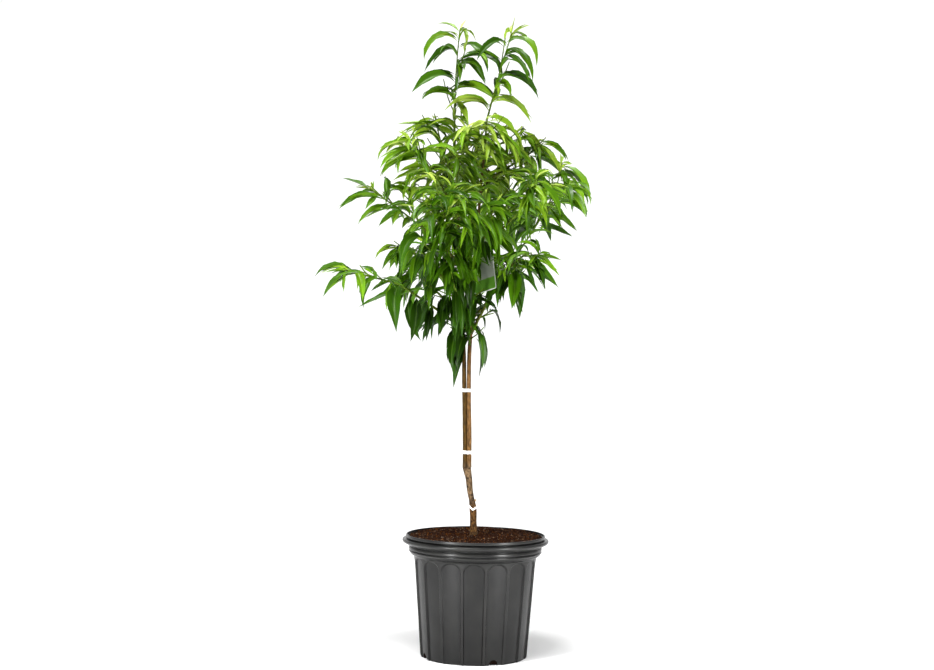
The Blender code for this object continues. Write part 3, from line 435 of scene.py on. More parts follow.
# Moist peat and bark fines: nearly black-brown and matt, grains from 1 to 5 mm
pottingMix, tree, shader = newMaterial("moistPeatAndBark", 0.93, 1.4)
shader.inputs["Specular IOR Level"].default_value = 0.05
tint = addNode(tree, "ShaderNodeAttribute", {"attribute_name": "tint"})
place = addNode(tree, "ShaderNodeTexCoord")
crumb = addNode(tree, "ShaderNodeTexNoise", Vector=place.outputs["Object"], Scale=1 / (1.4 * mm), Detail=3.0)
bump = addNode(tree, "ShaderNodeBump", Strength=0.5, Distance=0.5 * mm, Height=crumb.outputs["Fac"])
tree.links.new(tint.outputs["Color"], shader.inputs["Base Color"])
tree.links.new(bump.outputs["Normal"], shader.inputs["Normal"])
finishPiece(makeMix(pottingMix), "mix", "potting_mix")
print("potting mix done")


# Limbs: routes by name, each a dense line of points with a radius at each

routes, girths = {}, {}
trunkFoot = 245.8
trunkRoute = [
    (-3.8, 0.0, 8.6),
    (-4.2, 6.0, 7.4),
    (-4.8, 24.0, 6.9),
    (-5.2, 46.0, 7.2),
    (-6.4, 57.0, 7.2),
    (-9.4, 72.0, 5.5),
    (-13.2, 90.0, 6.1),
    (-15.8, 116.0, 6.6),
    (-18.0, 127.0, 7.7),
    (-19.6, 136.0, 8.6),
]
fork = trunkFoot + trunkRoute[-1][1] + 0.3
leaderRoutes = {
    "leader_left": [
        (-23.8, 1.0, 0.0),
        (-24.4, 1.0, 48.0),
        (-28.0, 1.0, 169.0),
        (-29.4, 3.0, 226.0),
        (-33.0, 6.0, 280.0),
        (-40.7, 14.0, 419.0),
        (-54.5, 25.0, 641.0),
    ],
    "leader_right": [
        (-15.4, -1.0, 0.0),
        (-15.6, -1.5, 48.0),
        (-18.8, -1.0, 169.0),
        (-18.6, -3.0, 226.0),
        (-16.2, -6.0, 284.0),
        (-10.3, -15.0, 419.0),
        (9.2, -25.0, 703.0),
    ],
}
# name: carrier, share of its length, heading, rise, turn, lift, length
boughRows = {
    "low_left": ("leader_left", 0.435, 227, 29, -23, 0, 180),
    "low_right": ("leader_right", 0.380, 321, 60, 22, -4, 184),
    "right_spur": ("bough_low_right", 0.85, 293, 19, 20, 12, 60),
    "right_front": ("leader_right", 0.606, 294, 22, 18, 13, 176),
    "mid_left": ("leader_left", 0.638, 164, 47, -10, -12, 136),
    "left_spur": ("bough_mid_left", 0.80, 173, 52, 18, 13, 37),
    "high_left": ("leader_left", 0.787, 259, 27, -39, 23, 133),
    "front_centre": ("leader_left", 0.527, 251, 27, -1, 23, 150),
    "right_high": ("leader_right", 0.797, 58, 35, -32, -7, 127),
    "left_low": ("leader_left", 0.535, 130, 36, 3, -5, 128),
    "back_low_left": ("leader_left", 0.470, 114, 25, 10, 0, 167),
    "back_low_right": ("leader_right", 0.425, 71, 18, -10, 20, 171),
    "back_mid": ("leader_left", 0.608, 90, 35, -5, 0, 155),
    "back_mid_left": ("leader_left", 0.685, 114, 35, 5, -3, 142),
    "back_mid_right": ("leader_right", 0.625, 76, 26, -23, 6, 162),
}


def pointing(heading, rise):
    # the direction that is heading degrees round from +X and rise degrees above level
    h, r = np.radians(heading), np.radians(rise)
    return np.stack([np.cos(r) * np.cos(h), np.cos(r) * np.sin(h), np.sin(r) + 0 * h], -1)


def grow(start, heading, rise, turn, lift, length, steps=4):
    # a limb's knots: heading and rise change evenly along it, by turn and lift in all
    share = (np.arange(steps) + 0.5) / steps
    moves = pointing(heading + turn * share, rise + lift * share) * (length / steps)
    return np.vstack([[start], start + np.cumsum(moves, 0)])


def smoothRoute(knots, step=3.0):
    # a cubic through the knots, its slope at each from its neighbours, with a point each step
    reach = np.concatenate([[0], np.cumsum(np.linalg.norm(np.diff(knots, axis=0), axis=1))])
    slope = np.gradient(knots, reach, axis=0)
    s = np.linspace(0, reach[-1], max(4, int(reach[-1] / step) + 1))
    i = np.clip(np.searchsorted(reach, s, side="right") - 1, 0, len(reach) - 2)
    width = (reach[i + 1] - reach[i])[:, None]
    t = (s[:, None] - reach[i][:, None]) / width
    a = (2 * t**3 - 3 * t**2 + 1) * knots[i] + (t**3 - 2 * t**2 + t) * width * slope[i]
    b = (3 * t**2 - 2 * t**3) * knots[i + 1] + (t**3 - t**2) * width * slope[i + 1]
    return a + b


def lengthsAlong(route):
    return np.concatenate([[0], np.cumsum(np.linalg.norm(np.diff(route, axis=0), axis=1))])


def atShare(route, share):
    # the point and the direction at a share of a route's length
    reach = lengthsAlong(route)
    target = share * reach[-1]
    i = min(int(np.searchsorted(reach, target, side="left")), len(route) - 1)
    i = max(i - 1, 0)
    step = route[i + 1] - route[i]
    return route[i] + step * (target - reach[i]) / np.linalg.norm(step), unit(step)


def headingAndRise(direction):
    return math.degrees(math.atan2(direction[1], direction[0])), math.degrees(math.asin(np.clip(direction[2], -1, 1)))


def limbSurface(route, girth, sides, relief, tint, seed=0, closeFoot=True, mottle=0.0):
    # rings carried along the route: radius x (1 + ridges), where the ridges are five waves round and along.
    # Each ring's side vector is level where the limb leans, and the ends close in a fan.
    draw = np.random.default_rng(seed)
    tangent = unit(np.gradient(route, axis=0))
    steep = abs(tangent[:, 2].mean()) > 0.85
    guide = np.array([0.0, -1.0, 0.0]) if steep else np.array([0.0, 0.0, 1.0])
    side = unit(np.cross(tangent, guide))
    up = np.cross(side, tangent)
    angle = np.arange(sides) * math.tau / sides
    along = lengthsAlong(route)[:, None]
    ridges = 0
    for k in (1, 2, 3, 5, 7):
        ridges = ridges + np.cos(k * angle + draw.uniform(0, 6.28) + along / draw.uniform(9, 34)) / math.sqrt(k)
        ridges = ridges + 0.5 * np.cos(along / draw.uniform(2.5, 6) + draw.uniform(0, 6.28)) / k
    radius = girth[:, None] * (1 + relief * ridges)
    ring = radius[..., None] * (np.cos(angle)[None, :, None] * side[:, None] + np.sin(angle)[None, :, None] * up[:, None])
    grid = route[:, None] + ring
    points = grid.reshape(-1, 3)
    quads = gridFaces(len(route), sides, wrap=True)
    last = (len(route) - 1) * sides + np.arange(sides)
    caps = [np.stack([last, np.roll(last, -1), np.full(sides, len(points))], -1)]
    tips = [route[-1] + tangent[-1] * girth[-1] * 0.6]
    if closeFoot:
        first = np.arange(sides)
        caps.append(np.stack([np.roll(first, -1), first, np.full(sides, len(points) + 1)], -1))
        tips.append(route[0])
    points = np.vstack([points, tips])
    u = np.broadcast_to(angle[None] / math.tau, radius.shape).ravel()
    v = np.broadcast_to(along / 100, radius.shape).ravel()
    uv = np.vstack([np.stack([u, v], -1), np.zeros((len(tips), 2))])
    colours = np.repeat(np.asarray(tint), sides, 0) if np.ndim(tint) == 2 else np.tile(tint, (len(points) - len(tips), 1))
    if mottle:
        # blotches: each point's shade times a random share, averaged over its neighbours
        patch = draw.random((len(route), sides))
        patch = (patch + np.roll(patch, 1, 0) + np.roll(patch, 1, 1) + np.roll(patch, (1, 1), (0, 1))) / 4
        colours = colours * np.clip(1 + mottle * 4 * (patch - 0.5), 0.1, 3).reshape(-1, 1)
    colours = np.vstack([colours, np.tile(colours[-1], (len(tips), 1))])
    return points, quads, np.concatenate(caps), uv, colours


barkShades = {
    "rootstock": "#54391B",
    "graft": "#453525",
    "scion": "#5E4B35",
    "left": "#44300E",
    "right": "#6A4C2A",
    "bough": "#4E4C1C",
    "boughTip": "#4C6418",
    "twig": "#5E7820",
}


def blendShades(share, stops):
    # linear colours along a limb, between (share, hex) stops
    marks = np.array([mark for mark, _ in stops])
    values = np.array([linear(code) for _, code in stops])
    return np.stack([np.interp(share, marks, values[:, i]) for i in range(3)], -1)


def addLimb(name, knots, foot, tip, middle=None):
    # the radius runs from foot to tip, by way of the middle one at 0.3 of the length
    route = smoothRoute(np.array(knots, float), 3.0)
    reach = lengthsAlong(route)
    routes[name] = route
    girths[name] = np.interp(reach / reach[-1], (0, 0.3, 1), (foot, middle or foot + 0.3 * (tip - foot), tip))


# Bark of a one-year nectarine: smooth and thin, tan to olive, with fine grain along the stem and pale specks
bark, tree, shader = newMaterial("youngNectarineBark", 0.62, 1.45)
shader.inputs["Specular IOR Level"].default_value = 0.08
tint = addNode(tree, "ShaderNodeAttribute", {"attribute_name": "tint"})
place = addNode(tree, "ShaderNodeTexCoord")
stretch = addNode(tree, "ShaderNodeMapping", Vector=place.outputs["Object"], Scale=(1.0, 1.0, 0.22))
streak = addNode(tree, "ShaderNodeTexNoise", Vector=stretch.outputs["Vector"], Scale=1 / (2.2 * mm), Detail=5.0)
streakShade = ramp(tree, streak.outputs["Fac"], [(0.36, "#8A8A8A"), (0.52, "#D8D8D8"), (0.68, "#FFFFFF")])
mixed = addNode(
    tree, "ShaderNodeMix", {"data_type": "RGBA", "blend_type": "MULTIPLY"},
    n0=0.75, n6=tint.outputs["Color"], n7=streakShade.outputs["Color"],
)
tree.links.new(mixed.outputs[2], shader.inputs["Base Color"])
bump = addNode(tree, "ShaderNodeBump", Strength=0.35, Distance=0.4 * mm, Height=streak.outputs["Fac"])
tree.links.new(bump.outputs["Normal"], shader.inputs["Normal"])

def darkKnot(points):
    # the scar between the stems' feet at the front, as a share of full colour
    spot = ((points[:, 0] + 20.0) / 4.0) ** 2 + ((points[:, 2] - fork - 4.0) / 7.0) ** 2
    return 1 - 0.65 * (np.exp(-spot) * (points[:, 1] < 2))[:, None]


# trunk: rootstock, graft with its cut-back heel, scion, and the widening under the fork
knots = np.array([(x, 0.0, trunkFoot + z) for x, z, _ in trunkRoute + [(-20.2, 144.0, 8.6)]])
trunkLine = smoothRoute(knots, 1.5)
trunkGirth = np.interp(lengthsAlong(trunkLine), lengthsAlong(knots)[:-1], [r for _, _, r in trunkRoute])
share = lengthsAlong(trunkLine) / lengthsAlong(trunkLine)[-1]
trunkShade = blendShades(share, [
    (0.0, "#3A2A18"), (0.07, barkShades["rootstock"]), (0.36, barkShades["rootstock"]), (0.47, barkShades["graft"]),
    (0.6, barkShades["scion"]), (1.0, barkShades["scion"]),
])
body = limbSurface(trunkLine, trunkGirth, 36, 0.026, trunkShade, 3, mottle=1.0)
squeeze = 1 - 0.2 * smoothStep(fork - 22.0, fork - 2.0, body[0][:, 2])
body[0][:, 1] = body[0][:, 1] * squeeze
body[0][:, 2] = np.clip(body[0][:, 2], trunkFoot, fork - 0.3)
heelKnots = grow(trunkLine[int(len(trunkLine) * 0.45)], 0.0, 28.0, 0.0, 30.0, 9.5, 3)
heel = limbSurface(
    smoothRoute(heelKnots, 0.8), np.linspace(3.6, 2.0, len(smoothRoute(heelKnots, 0.8))), 18, 0.03,
    blendShades(np.linspace(0, 1, len(smoothRoute(heelKnots, 0.8))), [(0.0, "#4A3320"), (0.6, "#7A5C3C"), (1.0, "#A48A66")]), 5,
)
finishPiece(makePiece("trunk_bark", *[joinParts([body, heel])[i] * (mm if i == 0 else 1) for i in (0, 1)], bark,
                      joinParts([body, heel])[2], joinParts([body, heel])[3], joinParts([body, heel])[4]), "bark", "trunk")

for name, knots in leaderRoutes.items():
    addLimb(name, [(x, y, fork + z) for x, y, z in knots], 4.7, 1.9, 4.3)
for name, (carrier, share, heading, rise, turn, lift, length) in boughRows.items():
    start = atShare(routes[carrier], share)[0]
    foot = 3.3 if carrier.startswith("leader") else 2.3
    addLimb(f"bough_{name}", grow(start, heading, rise, turn, lift, length), foot, 2.0)

for name, shade, seed in (("leader_left", "left", 11), ("leader_right", "right", 12)):
    route = routes[name]
    share = lengthsAlong(route) / lengthsAlong(route)[-1]
    colours = blendShades(share, [(0.0, barkShades["scion"]), (0.02, barkShades[shade]), (0.5, barkShades[shade]), (1.0, barkShades["bough"])])
    # the feet swell and run together over the fork
    swollen = girths[name] + 0.3 * np.exp(-lengthsAlong(route) / 16)
    part = limbSurface(route, swollen, 20, 0.024, colours, seed, mottle=0.35)
    part[0][:, 2] = np.maximum(part[0][:, 2], fork - 0.25)
    part[4][:] *= darkKnot(part[0])
    finishPiece(makePiece(name + "_bark", part[0] * mm, part[1], bark, *part[2:]), "bark", name)

parts = []
for i, name in enumerate(boughRows):
    route = routes[f"bough_{name}"]
    share = lengthsAlong(route) / lengthsAlong(route)[-1]
    colours = blendShades(share, [(0.0, barkShades["bough"]), (1.0, barkShades["boughTip"])])
    parts.append(limbSurface(route, girths[f"bough_{name}"], 12, 0.025, colours, 20 + i))
joined = joinParts(parts)
finishPiece(makePiece("bough_bark", joined[0] * mm, joined[1], bark, *joined[2:]), "bark", *[f"bough_{n}" for n in boughRows])
print("trunk, leaders and boughs done")


# Ties and tag

ties = {"heights": (30.5, 156.0), "tall": 6.8, "wrap": 1.45, "steps": 60, "lowerHeight": -79.0, "lowerTall": 4.6, "lowerSag": 6.0}


def bandSurface(outline, height, thickness, tilt=0.0):
    # a rounded strip, height tall and thickness deep, carried round a closed outline in the level plane
    count = len(outline)
    tangent = unit(np.roll(outline, -1, 0) - np.roll(outline, 1, 0))
    outward = np.stack([tangent[:, 1], -tangent[:, 0]], -1)
    section = np.array([(0, -0.5), (0.55, -0.5), (1, -0.36), (1.06, 0), (1, 0.36), (0.55, 0.5), (0, 0.5)])
    reach = section[:, 0] * thickness
    flat = outline[:, None] + outward[:, None] * reach[None, :, None]
    crease = 0.12 * np.sin(np.arange(count) * 1.7)[:, None] + 0.1 * np.sin(np.arange(count) * 0.6)[:, None]
    z = section[None, :, 1] * height + crease
    grid = np.concatenate([flat, z[..., None]], -1)
    columns = len(section)
    quads = gridFaces(count, columns, wrap=True)
    wrapRows = np.arange(columns)
    ahead = (wrapRows + 1) % columns
    seam = np.stack([(count - 1) * columns + wrapRows, (count - 1) * columns + ahead, ahead, wrapRows], -1)
    return grid, np.vstack([quads, seam])


def pairOutline(left, right, radius, steps):
    # half a circle round each stem, joined by straight sides
    along = math.atan2(right[1] - left[1], right[0] - left[0])
    angle = np.linspace(-math.pi / 2, math.pi / 2, steps // 2)
    a = right + radius * np.stack([np.cos(along + angle), np.sin(along + angle)], -1)
    b = left + radius * np.stack([np.cos(along + angle + math.pi), np.sin(along + angle + math.pi)], -1)
    return np.vstack([a, b])


def routeAtHeight(route, z):
    return np.array([np.interp(z, route[:, 2], route[:, 0]), np.interp(z, route[:, 2], route[:, 1])])


# Stretch tape: matt white vinyl, slightly creased
tape, tree, shader = newMaterial("whiteVinylTape", 0.5, 1.5)
shader.inputs["Base Color"].default_value = (*linear("#E9E8E2"), 1.0)
for name, height in zip(("tie_middle", "tie_upper"), ties["heights"]):
    z = fork + height
    left, right = routeAtHeight(routes["leader_left"], z), routeAtHeight(routes["leader_right"], z)
    grid, quads = bandSurface(pairOutline(left, right, 4.75, ties["steps"]), ties["tall"], ties["wrap"])
    grid[..., 2] += z
    finishPiece(makePiece(name + "_tape", grid.reshape(-1, 3) * mm, quads, tape), "tape", name)
angle = np.arange(ties["steps"]) * math.tau / ties["steps"]
z = fork + ties["lowerHeight"]
centre = routeAtHeight(trunkLine, z)
girth = np.interp(z, trunkLine[:, 2], trunkGirth) + 0.4
outline = centre + girth * np.stack([np.cos(angle), np.sin(angle)], -1)
grid, quads = bandSurface(outline, ties["lowerTall"], ties["wrap"])
front = smoothStep(-0.2, 0.6, (centre[1] - grid[..., 1]) / girth)
grid[..., 2] += z - front * ties["lowerSag"] * (1 - np.abs(grid[..., 0] - centre[0]) / girth) + 0.15 * (centre[0] - grid[..., 0])
finishPiece(makePiece("tie_lower_tape", grid.reshape(-1, 3) * mm, quads, tape), "tape", "tie_lower")

tag = {"width": 52.0, "height": 74.0, "thick": 0.7, "centre": (7.6, -66.0, 770.0), "roll": 7.0, "yaw": -33.0, "lean": 22.0,
       "corner": 4.0, "border": 1.6, "band": 0.36, "loopShare": 0.59}

tagTurn = (Matrix.Rotation(math.radians(-tag["roll"]), 3, "Y") @ Matrix.Rotation(math.radians(-tag["lean"]), 3, "X")
           @ Matrix.Rotation(math.radians(tag["yaw"]), 3, "Z"))


def makeTag(materials):
    # a card as a grid with rounded corners: points beyond a corner's circle are drawn in to it; it bows a little
    half, tall, corner = tag["width"] / 2, tag["height"] / 2, tag["corner"]
    def lines(reach):
        inner = np.linspace(-reach + tag["border"], reach - tag["border"], 22)
        return np.concatenate([[-reach, -reach + tag["border"] / 2], inner, [reach - tag["border"] / 2, reach]])
    x, y = np.meshgrid(lines(half), np.sort(np.append(lines(tall), -tall + tag["height"] * tag["band"])))
    ox, oy = np.abs(x) - (half - corner), np.abs(y) - (tall - corner)
    over = (ox > 0) & (oy > 0)
    scale = np.where(over, np.maximum(ox, oy) / np.maximum(np.hypot(ox, oy), 1e-9), 1.0)
    x = np.where(over, np.sign(x) * (half - corner + ox * scale), x)
    y = np.where(over, np.sign(y) * (tall - corner + oy * scale), y)
    bow = 2.2 * (1 - (x / half) ** 2)
    rows, columns = x.shape
    front = np.stack([x, -bow - tag["thick"] / 2, y], -1).reshape(-1, 3)
    back = np.stack([x, -bow + tag["thick"] / 2, y], -1).reshape(-1, 3)
    points = np.vstack([front, back])
    quads = gridFaces(rows, columns)
    index = np.arange(rows * columns).reshape(rows, columns)
    rim = np.concatenate([index[0, :-1], index[:-1, -1], index[-1, :0:-1], index[:0:-1, 0]])
    ahead = np.roll(rim, -1)
    edge = np.stack([rim, rim + rows * columns, ahead + rows * columns, ahead], -1)
    allQuads = np.vstack([quads, quads[:, ::-1] + rows * columns, edge])
    points = points @ np.array(tagTurn).T + np.array(tag["centre"])
    piece = makePiece("tag_card", points * mm, allQuads, materials[0])
    for extra in materials[1:]:
        piece.data.materials.append(extra)
    # band and border by the middle of each face
    middle = np.stack([x.ravel(), y.ravel()], -1)
    middle = np.vstack([middle, middle])[allQuads].mean(1)
    inside = (np.abs(middle[:, 0]) < half - tag["border"]) & (np.abs(middle[:, 1]) < tall - tag["border"])
    green = inside & (middle[:, 1] < -tall + tag["height"] * tag["band"])
    upper = inside & ~green
    piece.data.polygons.foreach_set("material_index", np.where(green, 1, np.where(upper, 2, 0)).astype(np.int32))
    return piece


# Tag card: glossy coated plastic card, white edge, green lower band, upper field of white card painted grey-green as
# shade from the leaves over it, no print
tagWhite, tree, shader = newMaterial("coatedCardWhite", 0.35, 1.5)
shader.inputs["Base Color"].default_value = (*linear("#C9CCC6"), 1.0)
tagGreen, tree, shader = newMaterial("coatedCardGreen", 0.35, 1.5)
shader.inputs["Base Color"].default_value = (*linear("#4E7E22"), 1.0)
# the upper field's grey-green is painted shade on white card
tagShadedField, tree, shader = newMaterial("coatedCardShadedField", 0.35, 1.5)
shader.inputs["Base Color"].default_value = (*linear("#8E9488"), 1.0)
finishPiece(makeTag([tagWhite, tagGreen, tagShadedField]), "tag", "tag")
loopPoint, loopAlong = atShare(routes["leader_right"], tag["loopShare"])
topEdge = np.array(tagTurn @ Vector((0, -2.0, tag["height"] / 2 - 3.0))) + np.array(tag["centre"])
strapKnots = np.array([topEdge, topEdge + [0, 14.0, 9.0], loopPoint + unit(topEdge - loopPoint) * 16 + [0, 0, 3.0],
                       loopPoint + unit(topEdge - loopPoint) * 3.6])
strapLine = smoothRoute(strapKnots, 1.5)
strap = limbSurface(strapLine, np.full(len(strapLine), 0.9), 8, 0.0, linear("#DDE0DA"), 1)
outline = loopPoint[:2] + 3.2 * np.stack([np.cos(angle), np.sin(angle)], -1)
loopGrid, loopQuads = bandSurface(outline, 3.4, 1.2)
loopGrid[..., 2] += loopPoint[2]
strapPiece = makePiece("tag_strap", np.vstack([strap[0], loopGrid.reshape(-1, 3)]) * mm,
                       np.vstack([strap[1], loopQuads + len(strap[0])]), tagWhite, strap[2])
finishPiece(strapPiece, "tag", "tag")
print("ties and tag done")


# Shoots: name, carrier, share, heading, rise, turn, lift, length, twigs, leaves, leaf, hang, seed.
# A heading of None goes on in the carrier's direction; hang runs from 0, arched, to 1, hung straight down.

shootRows = []


def shootRow(*values):
    shootRows.append(dict(zip(
        ("name", "carrier", "share", "heading", "rise", "turn", "lift", "length", "twigs", "leaves", "leaf", "hang", "seed"),
        values,
    )))


shootRow("top_left", "leader_left", 1, None, None, 60, 8, 247, 0, 15, 108, 0.0, 486)
shootRow("top_right", "leader_right", 1, None, None, 6, -25, 174, 0, 13, 108, 0.0, 1364)
shootRow("low_left", "bough_low_left", 1, None, None, -13, -26, 118, 2, 15, 92, 0.3, 212)
shootRow("right_outer", "bough_low_right", 1, None, None, 97, 5, 229, 3, 22, 108, 0.1, 232)
shootRow("right_low", "bough_right_spur", 1, None, None, 0, -35, 56, 1, 10, 96, 0.3, 120)
shootRow("right_front", "bough_right_front", 1, None, None, 5, 42, 79, 2, 13, 108, 0.0, 52)
shootRow("far_left", "bough_mid_left", 1, None, None, 39, -3, 117, 1, 13, 104, 0.0, 866)
shootRow("left_up", "bough_left_spur", 1, None, None, 65, -4, 66, 1, 9, 96, 0.0, 257)
shootRow("high_left", "bough_high_left", 1, None, None, -20, -2, 86, 2, 14, 106, 0.0, 46)
shootRow("left_top", "leader_left", 0.875, 133, 59, 4, 15, 176, 1, 12, 104, 0.0, 206)
shootRow("front_left", "leader_left", 0.700, 259, 14, -15, 52, 208, 2, 15, 110, 0.1, 145)
shootRow("front_centre", "bough_front_centre", 1, None, None, 81, 25, 143, 2, 15, 110, 0.1, 245)
shootRow("right_centre", "leader_right", 0.667, 304, 42, 19, 6, 142, 1, 12, 106, 0.0, 273)
shootRow("front_top_left", "leader_left", 0.890, 267, 22, 38, 54, 153, 1, 12, 106, 0.0, 299)
shootRow("front_top_right", "leader_right", 0.885, 270, 38, 11, 18, 100, 1, 11, 106, 0.0, 157)
shootRow("right_top", "leader_right", 0.907, 67, 12, -31, 45, 150, 1, 11, 104, 0.0, 60)
shootRow("right_high", "bough_right_high", 1, None, None, -31, 33, 63, 2, 12, 106, 0.0, 2)
shootRow("left_low", "bough_left_low", 1, None, None, 47, 0, 89, 1, 11, 106, 0.1, 294)
shootRow("left_mid", "leader_left", 0.575, 255, 22, -37, 15, 155, 2, 14, 112, 0.4, 150)
shootRow("skirt_left", "leader_left", 0.408, 248, 35, -18, 5, 66, 1, 9, 106, 0.9, 17)
shootRow("skirt_front", "leader_right", 0.350, 271, 34, -30, 1, 70, 1, 8, 106, 1.0, 140)
shootRow("skirt_right", "leader_right", 0.418, 350, 30, -11, -17, 50, 0, 6, 104, 1.0, 224)
shootRow("right_skirt", "bough_low_right", 0.58, 308, 25, 8, 23, 80, 1, 10, 102, 0.8, 161)
shootRow("back_low_left", "bough_back_low_left", 1, None, None, 5, 30, 80, 2, 14, 104, 0.3, 175)
shootRow("back_low_right", "bough_back_low_right", 1, None, None, -10, 0, 73, 2, 13, 104, 0.3, 23)
shootRow("back_mid", "bough_back_mid", 1, None, None, 7, 15, 79, 2, 13, 110, 0.1, 292)
shootRow("back_mid_left", "bough_back_mid_left", 1, None, None, -6, 11, 70, 2, 12, 108, 0.1, 264)
shootRow("back_mid_right", "bough_back_mid_right", 1, None, None, -5, 19, 67, 2, 12, 108, 0.1, 15)
shootRow("back_high", "leader_right", 0.770, 92, 25, 6, 36, 166, 2, 14, 106, 0.0, 261)
shootRow("back_high_left", "leader_left", 0.828, 123, 38, -21, 26, 158, 2, 13, 106, 0.0, 81)
shootRow("back_high_right", "leader_right", 0.785, 79, 19, -28, 19, 179, 2, 14, 106, 0.0, 283)
shootRow("front_low", "leader_left", 0.480, 264, 18, -5, 22, 172, 1, 12, 108, 0.6, 58)
shootRow("front_right", "leader_right", 0.645, 286, 17, -2, 20, 157, 2, 13, 110, 0.1, 141)

shootRule = {
    "foot": 2.5,
    "footOnBough": 2.0,
    "tip": 1.1,
    "twigShare": 0.62,
    "twigSpread": 48.0,
    "spiral": 137.5,
    "leafSpread": 56.0,
    "youngSpread": 24.0,
    "youngFrom": 0.72,
    "youngSize": 0.42,
    "endRise": -68.0,
    "leafWidth": 0.215,
    "fold": 42.0,
    "bend": 0.8,
    "gap": 0.3,
}


# how far a stem is bowed half way along and carried at its tip, sideways and upwards, to where the photograph has it
stemBows = {
    "top_left": (1.4, 0, 7.3, 0),
    "top_right": (8, 0, -1, 0),
    "low_left": (0, -9, 0, -5),
    "right_low": (0, -8, -6, -10),
    "right_top": (0, 0, 3, -28),
    "left_low": (0, 0, 4, -10),
    "left_up": (0, 0, 10, -6),
}


def planAxes(row, draw):
    # the shoot's stem and its side twigs, each a smooth route with a radius at its foot
    start, along = atShare(routes[row["carrier"]], row["share"])
    heading, rise, foot = row["heading"], row["rise"], shootRule["foot"]
    if heading is None:
        heading, rise = headingAndRise(along)
        start = start + along * shootRule["gap"]
        foot = shootRule["footOnBough"]
    stem = smoothRoute(grow(start, heading, rise, row["turn"], row["lift"], row["length"]))
    midX, midZ, tipX, tipZ = stemBows.get(row["name"], (0, 0, 0, 0))
    s = np.linspace(0, 1, len(stem))
    stem = stem + np.outer(4 * s * (1 - s), (midX, 0, midZ)) + np.outer(s**2, (tipX, 0, tipZ))
    axes = [(stem, foot)]
    side = draw.choice((-1, 1))
    for i in range(row["twigs"]):
        share = 0.30 + 0.38 * (i + 0.5 * draw.random()) / row["twigs"]
        point, along = atShare(stem, share)
        heading, rise = headingAndRise(along)
        spread = shootRule["twigSpread"] * draw.uniform(0.8, 1.2) * side
        length = row["length"] * shootRule["twigShare"] * draw.uniform(0.75, 1.1)
        length = max(38.0, min(75.0, length))
        lift = draw.uniform(-6.0, 22.0)
        twig = smoothRoute(grow(point, heading + spread, rise * 0.7, 0.0, lift, length, 2))
        axes.append((twig, shootRule["tip"] * 1.3))
        side = -side
    return axes


leafRule = {"density": 4.0, "turn": 150.0, "spread": 18.0, "end": -44.0, "endLow": -30.0, "size": 0.97, "width": 0.138,
            "widthLow": 0.04, "fold": 46.0, "bend": 0.95, "sweep": 22.0, "lowFrom": 815.0, "lowTo": 700.0}


def leafSlots(row, axes):
    # where leaves may stand along each axis: root, axis, turn of the spiral, and how young
    total = sum(lengthsAlong(route)[-1] for route, _ in axes)
    slots = []
    for number, (route, _) in enumerate(axes):
        count = max(3, round(leafRule["density"] * row["leaves"] * lengthsAlong(route)[-1] / total))
        bare = 0.0 if number else 0.10
        for k in range(count):
            share = min(bare + (1.0 - bare) * (k + 0.7) / count, 0.985)
            root, along = atShare(route, share)
            young = float(smoothStep(shootRule["youngFrom"], 1.0, share))
            slots.append((root, Vector(along), shootRule["spiral"] * len(slots), young))
    return slots


def leafAt(row, slot, number):
    # one leaf by the source's angles and sizes, varied by a draw of its own number; low ones hang and are broad
    root, axis, turn, young = slot
    draw = random.Random(number)
    turn += draw.uniform(-1, 1) * leafRule["turn"]
    out = Matrix.Rotation(math.radians(turn), 3, axis) @ axis.orthogonal().normalized()
    spread = shootRule["leafSpread"] + (shootRule["youngSpread"] - shootRule["leafSpread"]) * young
    spread = math.radians(spread + draw.uniform(-1, 1) * leafRule["spread"])
    heading, rise = headingAndRise(axis * math.cos(spread) + out * math.sin(spread))
    low = max(row["hang"], 1 - float(smoothStep(leafRule["lowTo"], leafRule["lowFrom"], root[2])))
    rise = min(rise, 62.0) - 18.0 * row["hang"]
    end = leafRule["end"] + leafRule["endLow"] * low + draw.uniform(-34.0, 32.0)
    end = end + (rise - 25.0 - end) * young * 0.7
    size = row["leaf"] * leafRule["size"] * (1.0 + (shootRule["youngSize"] - 1.0) * young) * draw.uniform(0.52, 1.0)
    width = size * (leafRule["width"] + leafRule["widthLow"] * low) * draw.uniform(0.86, 1.12)
    fold = leafRule["fold"] * (1.0 - 0.4 * low) * draw.uniform(0.75, 1.2)
    roll = draw.uniform(-1.0, 1.0) * (38.0 + 25.0 * row["hang"])
    bend = leafRule["bend"] - 0.3 * low
    sweep = draw.gauss(0, leafRule["sweep"])
    return (*root, heading, rise, min(end, rise), bend, size, width, fold, roll, young, sweep)


# leaf greens from darkest to lightest, picked by each leaf's level: mostly painted light and shade, partly the
# paleness of young leaves
leafShades = {"deep": "#132901", "dark": "#264804", "mid": "#3F6605", "fresh": "#5F8610", "bright": "#7C9727", "young": "#9CB24A"}
extraTwigs = 2
